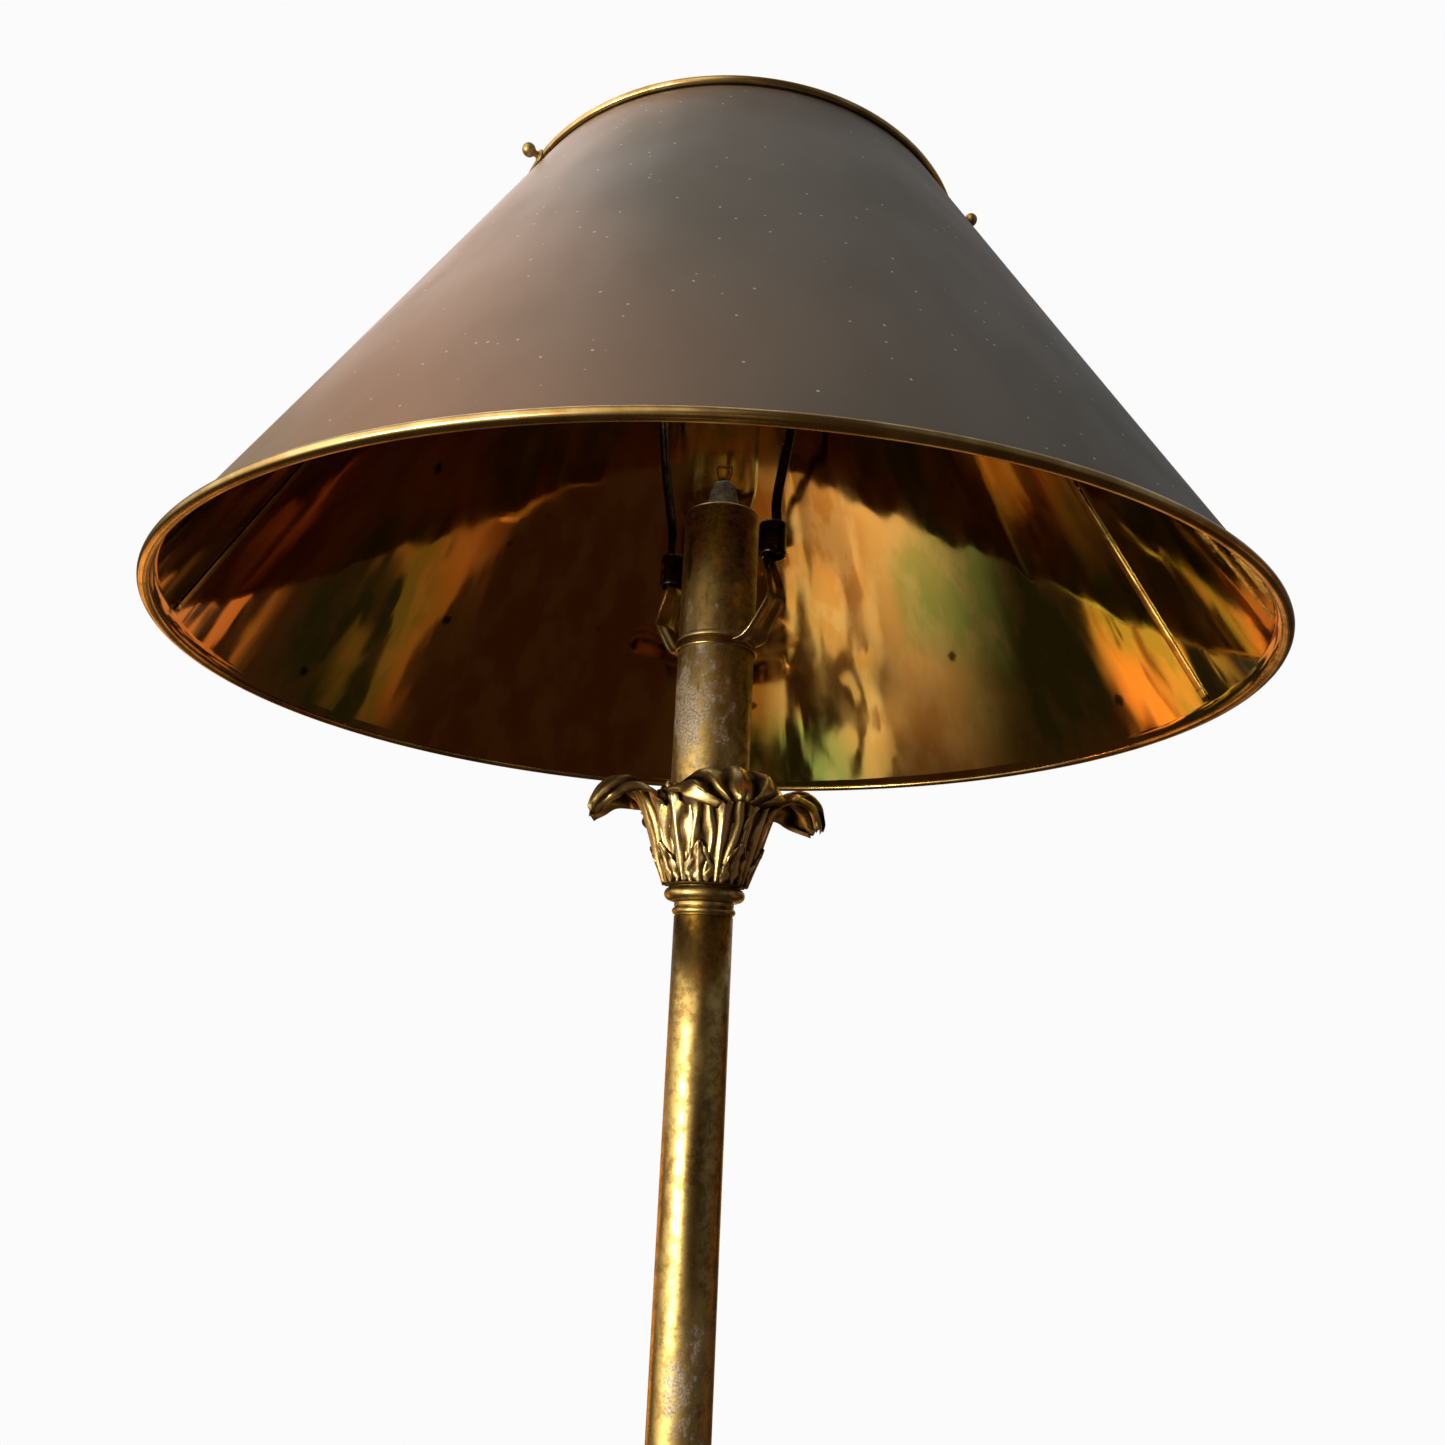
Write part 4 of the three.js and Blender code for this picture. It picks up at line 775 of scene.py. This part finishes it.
class RollShade(bpy.types.Operator):
    """Rolls the shade: enamelled outside and lacquered brass inside on one sheet, wire edges and lock seams."""
    bl_idname = "lamp.roll_shade"
    bl_label = "Roll shade"

    def execute(self, context):
        wave_height = context.scene.lamp_sizes.sheet_wave
        low, high = span("shade_cone")
        bottom, narrowing, sheet_wall = radius_of("shade_cone"), 121.6, 1.0
        top = bottom - narrowing
        slope = narrowing / (high - low)
        across = sheet_wall * np.hypot(1, slope)

        # Sheet: radius = cone - wall + dents, the dents a sum of sines round the cone that fade at both edges.
        turn = np.linspace(0, 2 * np.pi, 432, endpoint=False)[:, None]
        rise = np.linspace(0, 1, 56)
        s = np.concatenate([rise, rise[::-1]])[None]
        wall = np.concatenate([0 * rise, np.full(rise.shape, across)])[None]
        fade = np.clip(np.sin(np.pi * s), 0, 1) ** 0.6
        dents = (0.5 * np.sin(4 * turn + 2.2 * s + 0.4) + 0.30 * np.sin(9 * turn - 3.1 * s + 1.0)
                 + 0.14 * np.sin(23 * turn + 2.0 * np.sin(3 * s) + 2.0) + 0.05 * np.sin(47 * turn + 4 * s))
        knock = np.exp(-(((turn - np.radians(60)) / 0.09) ** 2 + ((s - 0.22) / 0.08) ** 2))
        r = bottom - slope * (high - low) * s - wall + wave_height * fade * dents + 1.0 * knock
        sheet = np.stack([r * np.cos(turn), r * np.sin(turn), low + (high - low) * s + 0 * turn], -1)
        piece = make("shade_sheet", [(sheet, True, True)], "paint", "shade", "shade_cone")
        mesh = piece.data
        mesh.materials.append(finish("lining"))
        normals, centres = np.zeros(len(mesh.polygons) * 3), np.zeros(len(mesh.polygons) * 3)
        mesh.polygons.foreach_get("normal", normals)
        mesh.polygons.foreach_get("center", centres)
        outward = (normals.reshape(-1, 3)[:, :2] * centres.reshape(-1, 3)[:, :2]).sum(1)
        mesh.polygons.foreach_set("material_index", (outward < 0.01).astype(np.int32))

        # Wire edges: the sheet curled round a wire, an oval section carried round the edge.
        for name, centre, height, wide, tall in (("shade_rim", bottom + 0.9, low - 0.4, 2.15, 1.9),
                                                 ("shade_bead", top + 0.9, high + 0.5, 1.85, 1.8)):
            a = np.linspace(0, 2 * np.pi, 20, endpoint=False)
            oval = np.stack([centre + wide * np.cos(a), height + tall * np.sin(a)], 1)
            make(f"{name}_wired", [turned(oval, 360)], "bright", "shade", name)

        # Seams: a folded strip with soft edges up the inside, with beads of solder run along it.
        for name, beads, lift in (("left", [0.02, 0.985], 0.55), ("right", [0.03, 0.3, 0.5, 0.78], 0.8)):
            node = f"shade_seam_{name}"
            start, end = span(node)
            azimuth = azimuth_of(node)
            t = np.linspace(0, 1, 80)[:, None]
            z = start + (end - start) * t
            inner = bottom - slope * (z - low) - across - 0.45
            path = np.hstack([inner, 0 * z, z])
            strip = carried(path, rounded_bar(4.6, lift))
            ball = circle(1.0, 18)[:10]
            blob, wrap_u, wrap_v = turned(np.stack([ball[:, 0].clip(0), ball[:, 1]], 1)[::-1], 24)
            blobs = [(blob * [0.8, 3.0, 2.4] + path[int(b * 79)], wrap_u, wrap_v) for b in beads]
            make(f"{node}_folded", [spun(g, azimuth) for g in (strip, *blobs)], "bright", "shade", node)
        return {"FINISHED"}


class FitSpider(bpy.types.Operator):
    """Fits the spider with its three round arms, the ball-headed screws, and the finial and its washer."""
    bl_idname = "lamp.fit_spider"
    bl_label = "Fit spider and finial"

    def execute(self, context):
        ball_size, ball_out = 3.0, 117.6
        hub_low, hub_high = span("finial_washer")[0] - 3.3, span("finial_washer")[0] - 0.3
        hub = turned(eased([[3.45, hub_low], [11, hub_low], [11, hub_high], [3.45, hub_high]], 0.6, 4), 72)
        grids = [hub]
        for name in ("left", "right", "rear"):
            node = f"ball_screw_{name}"
            azimuth, axis = azimuth_of(node), middle_of(node).z
            arm = np.array([[9.5, 0, hub_high - 1.1], [40, 0, hub_high - 2.6], [97, 0, axis + 0.1], [101.5, 0, axis]])
            grids.append(spun(carried(smooth(arm, 30), circle(2.0, 18)), azimuth))
            boss = eased([[2.05, 99.5], [3.2, 99.5], [3.2, 106.6], [2.05, 106.6]], 0.4, 4)
            grids.append(laid(turned(boss, 40), azimuth, axis))
            a = np.linspace(np.pi - 0.5, 0, 22)
            ball = np.stack([ball_size * np.sin(a), ball_out + ball_size * np.cos(a)], 1).tolist()
            ball[-1][0] = 0
            screw = [[0, 101.4], [1.5, 101.4], [1.7, 101.9], [1.7, 112.0], [2.8, 112.0], [2.8, 112.9],
                     [1.5, 113.3], [1.4, 114.6], *ball]
            make(f"ball_screw_turning_{name}", [laid(turned(eased(screw, 0.2, 3), 56), azimuth, axis)],
                 "antique", f"{name}_ball_screw", node)
        make("shade_spider_brazed", grids, "antique", "shade", "shade_spider")

        low, high = span("finial_washer")
        washer = eased([[3.45, low], [9, low], [8.6, high], [3.45, high]], 0.3, 3)
        make("finial_washer_turning", [turned(washer, 72)], "antique", "column", "finial_washer")

        low, high = span("finial")
        ball_middle = high - 11
        a = np.radians(np.linspace(-62, 76, 26))
        ball = np.stack([8 * np.cos(a), ball_middle + 8 * np.sin(a)], 1).tolist()
        finial = [[0, low + 15], [3.45, low + 15], [3.45, low], [7.5, low], [7.5, low + 1.6],
                  *smooth([[6.4, low + 2.4], [5.4, low + 4], [4.7, low + 6], [4.9, low + 8.6]], 14).tolist(),
                  *bulged(7, low + 9, low + 11.6), [4.8, low + 12.2], *ball, [1.8, high - 2.6], [1.4, high - 0.6],
                  [0, high]]
        make("finial_turning", [turned(eased(finial, 0.25, 3), 96)], "bright", "finial", "finial")
        return {"FINISHED"}


class SetStage(bpy.types.Operator):
    """Sets the stage: pale floor, soft lights, a studio that shows in the polished brass, and the camera."""
    bl_idname = "lamp.set_stage"
    bl_label = "Set stage"

    def execute(self, context):
        scene = context.scene
        floor = self.lay_floor()
        self.light_room(scene)
        self.hang_lights(floor)
        self.place_camera(scene)
        scene.view_settings.view_transform = "Standard"
        return {"FINISHED"}

    def lay_floor(self):
        """A pale floor that fades into the backdrop's white away from the lamp. Only the camera sees it: the
        lamp's own light and reflections come from the studio round it."""
        half = 14.0
        corners = np.array([[-half, -half], [half, -half], [half, half], [-half, half]])
        mesh = bpy.data.meshes.new("floor")
        mesh.from_pydata(np.hstack([corners, np.zeros((4, 1))]).tolist(), [], [[0, 1, 2, 3]])
        floor = bpy.data.objects.new("floor", mesh)
        bpy.context.scene.collection.objects.link(floor)
        material, tree, shader, place = new_material("pale_studio_floor", Roughness=0.8)
        shader.inputs["Base Color"].default_value = linear("e4e3e1")
        away = add(tree, "ShaderNodeVectorMath", {0: place}, operation="LENGTH").outputs["Value"]
        white = add(tree, "ShaderNodeEmission", values={"Color": linear("fbfbfb"), "Strength": 1.0}).outputs[0]
        pale = add(tree, "ShaderNodeMixShader",
                   {0: spread(tree, away, -1.2, 2.2), 1: shader.outputs[0], 2: white}).outputs[0]
        clear = add(tree, "ShaderNodeBsdfTransparent").outputs[0]
        seen = add(tree, "ShaderNodeLightPath").outputs["Is Camera Ray"]
        both = add(tree, "ShaderNodeMixShader", {0: seen, 1: clear, 2: pale}).outputs[0]
        ending = next(node for node in tree.nodes if node.type == "OUTPUT_MATERIAL")
        tree.links.new(both, ending.inputs["Surface"])
        mesh.materials.append(material)
        return floor

    def light_room(self, scene):
        """World round the lamp: a dim warm room with soft bright windows, each a smooth step of the cosine
        between the looking direction and the window's direction, some broken up by noise as panes and
        furniture break a window's light. The camera sees plain white."""
        world = bpy.data.worlds.new("studio")
        world.use_nodes = True
        scene.world = world
        tree = world.node_tree
        tree.nodes.clear()
        look = add(tree, "ShaderNodeTexCoord").outputs["Generated"]
        broken = add(tree, "ShaderNodeTexNoise", {"Vector": look}, {"Scale": 7.0, "Detail": 3.0}).outputs["Fac"]
        windows = [
            # direction, inner and outer cosine, colour, strength, broken up
            ((-0.84, -0.50, 0.30), 0.97, 0.48, "fff0da", 2.15, False),
            ((-0.53, -0.62, -0.58), 0.990, 0.945, "e6efdf", 1.1, True),
            ((-0.15, -0.80, -0.60), 0.98, 0.94, "d8b070", 0.5, True),
            ((0.20, 0.97, -0.15), 0.985, 0.90, "ffb868", 0.9, True),
            ((-0.55, 0.80, -0.20), 0.985, 0.92, "ffb05c", 1.8, True),
            ((0.95, 0.25, -0.25), 0.985, 0.94, "ffb060", 0.3, True),
            ((0.85, -0.40, 0.35), 0.97, 0.70, "cfd8dc", 0.22, False),
            ((0.10, 0.60, 0.85), 0.95, 0.40, "ffffff", 0.4, False),
        ]
        total = None
        for direction, inner, outer, colour, strength, panes in windows:
            unit = Vector(direction).normalized()
            cosine = add(tree, "ShaderNodeVectorMath", {0: look}, {1: unit}, operation="DOT_PRODUCT").outputs["Value"]
            amount = spread(tree, cosine, outer, inner, 0.0, strength)
            if panes:
                gaps = spread(tree, broken, 0.47, 0.53)
                amount = maths(tree, "MULTIPLY", amount, gaps)
            tint = add(tree, "ShaderNodeVectorMath", {"Scale": amount}, {0: linear(colour)[:3]},
                       operation="SCALE").outputs[0]
            total = tint if total is None else add(tree, "ShaderNodeVectorMath", {0: total, 1: tint},
                                                   operation="ADD").outputs[0]
        dim = add(tree, "ShaderNodeVectorMath", {0: total}, {1: (0.040, 0.023, 0.013)}, operation="ADD").outputs[0]
        room = add(tree, "ShaderNodeBackground", {"Color": dim}, {"Strength": 1.0})
        plain = add(tree, "ShaderNodeBackground", values={"Color": linear("fbfbfb"), "Strength": 1.0})
        seen = add(tree, "ShaderNodeLightPath").outputs["Is Camera Ray"]
        blend = add(tree, "ShaderNodeMixShader", {0: seen, 1: room.outputs[0], 2: plain.outputs[0]})
        add(tree, "ShaderNodeOutputWorld", {"Surface": blend.outputs[0]})

    def hang_lights(self, floor):
        """Two soft lights: a low strip at the front left, which leaves the floor alone, and a faint one above."""
        aim = Vector((0, 0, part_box("shade_cone")[0].z - 0.02))
        for name, place, size, watts, colour in (
                ("key", (-1.54, -1.48, -0.50), (1.0, 0.22), 36, "fff6e4"),
                ("top", (-0.4, 0.9, 1.5), (1.2, 1.2), 8, "fffaf2")):
            data = bpy.data.lights.new(name, "AREA")
            data.shape = "RECTANGLE"
            data.size, data.size_y = size
            data.energy, data.color = watts, linear(colour)[:3]
            light = bpy.data.objects.new(name, data)
            light.location = aim + Vector(place)
            light.rotation_euler = (aim - light.location).to_track_quat("-Z", "Y").to_euler()
            bpy.context.scene.collection.objects.link(light)
            if name == "key":  # so low that it would burn out the floor beside the lamp
                unlit = bpy.data.collections.new("not_lit_by_the_key")
                unlit.objects.link(floor)
                light.light_linking.receiver_collection = unlit
                unlit.collection_objects[0].light_linking.link_state = "EXCLUDE"

    def place_camera(self, scene):
        """The camera looks along (sin yaw cos pitch, cos yaw cos pitch, sin pitch), leaned by its roll."""
        s = scene.lamp_camera
        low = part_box("shade_cone")[0]
        ahead = Vector((np.sin(s.yaw) * np.cos(s.pitch), np.cos(s.yaw) * np.cos(s.pitch), np.sin(s.pitch)))
        right = Vector((np.cos(s.yaw), -np.sin(s.yaw), 0))
        up = right.cross(ahead)
        leaned_right = np.cos(s.roll) * right + np.sin(s.roll) * up
        leaned_up = np.cos(s.roll) * up - np.sin(s.roll) * right
        data = bpy.data.cameras.new("camera")
        data.sensor_width, data.lens, data.clip_start, data.clip_end = 36, s.lens, 0.01, 60
        camera = bpy.data.objects.new("camera", data)
        turn = Matrix((leaned_right, leaned_up, -ahead)).transposed().to_4x4()
        camera.matrix_world = Matrix.Translation((0, -s.distance, low.z - s.drop)) @ turn
        scene.collection.objects.link(camera)
        scene.camera = camera


STEPS = (SetStage, FinishHiddenParts, SpinBase, TurnColumn, CastCapital, FormHarp, BlowBulb, RollShade, FitSpider)


class LampPanel(bpy.types.Panel):
    """Lists the lamp's settings and steps in the 3D view's sidebar."""
    bl_idname = "VIEW3D_PT_floor_lamp"
    bl_label = "Floor lamp"
    bl_space_type = "VIEW_3D"
    bl_region_type = "UI"
    bl_category = "Floor lamp"

    def draw(self, context):
        for settings in (context.scene.lamp_finish, context.scene.lamp_sizes, context.scene.lamp_camera):
            for key in settings.__annotations__:
                self.layout.prop(settings, key)
        for step in STEPS:
            self.layout.operator(step.bl_idname)


GROUPS = {"lamp_finish": LampFinish, "lamp_sizes": LampSizes, "lamp_camera": LampCamera}
CLASSES = (*GROUPS.values(), *STEPS, LampPanel)


def register():
    for cls in CLASSES:
        bpy.utils.register_class(cls)
    for name, cls in GROUPS.items():
        setattr(bpy.types.Scene, name, bpy.props.PointerProperty(type=cls))


def unregister():
    for name in GROUPS:
        delattr(bpy.types.Scene, name)
    for cls in reversed(CLASSES):
        bpy.utils.unregister_class(cls)


def main():
    register()
    bpy.ops.lamp.set_stage()
    bpy.ops.lamp.finish_hidden_parts()
    bpy.ops.lamp.spin_base()
    bpy.ops.lamp.turn_column()
    bpy.ops.lamp.cast_capital()
    bpy.ops.lamp.form_harp()
    bpy.ops.lamp.blow_bulb()
    bpy.ops.lamp.roll_shade()
    bpy.ops.lamp.fit_spider()


if __name__ == "__main__":
    main()
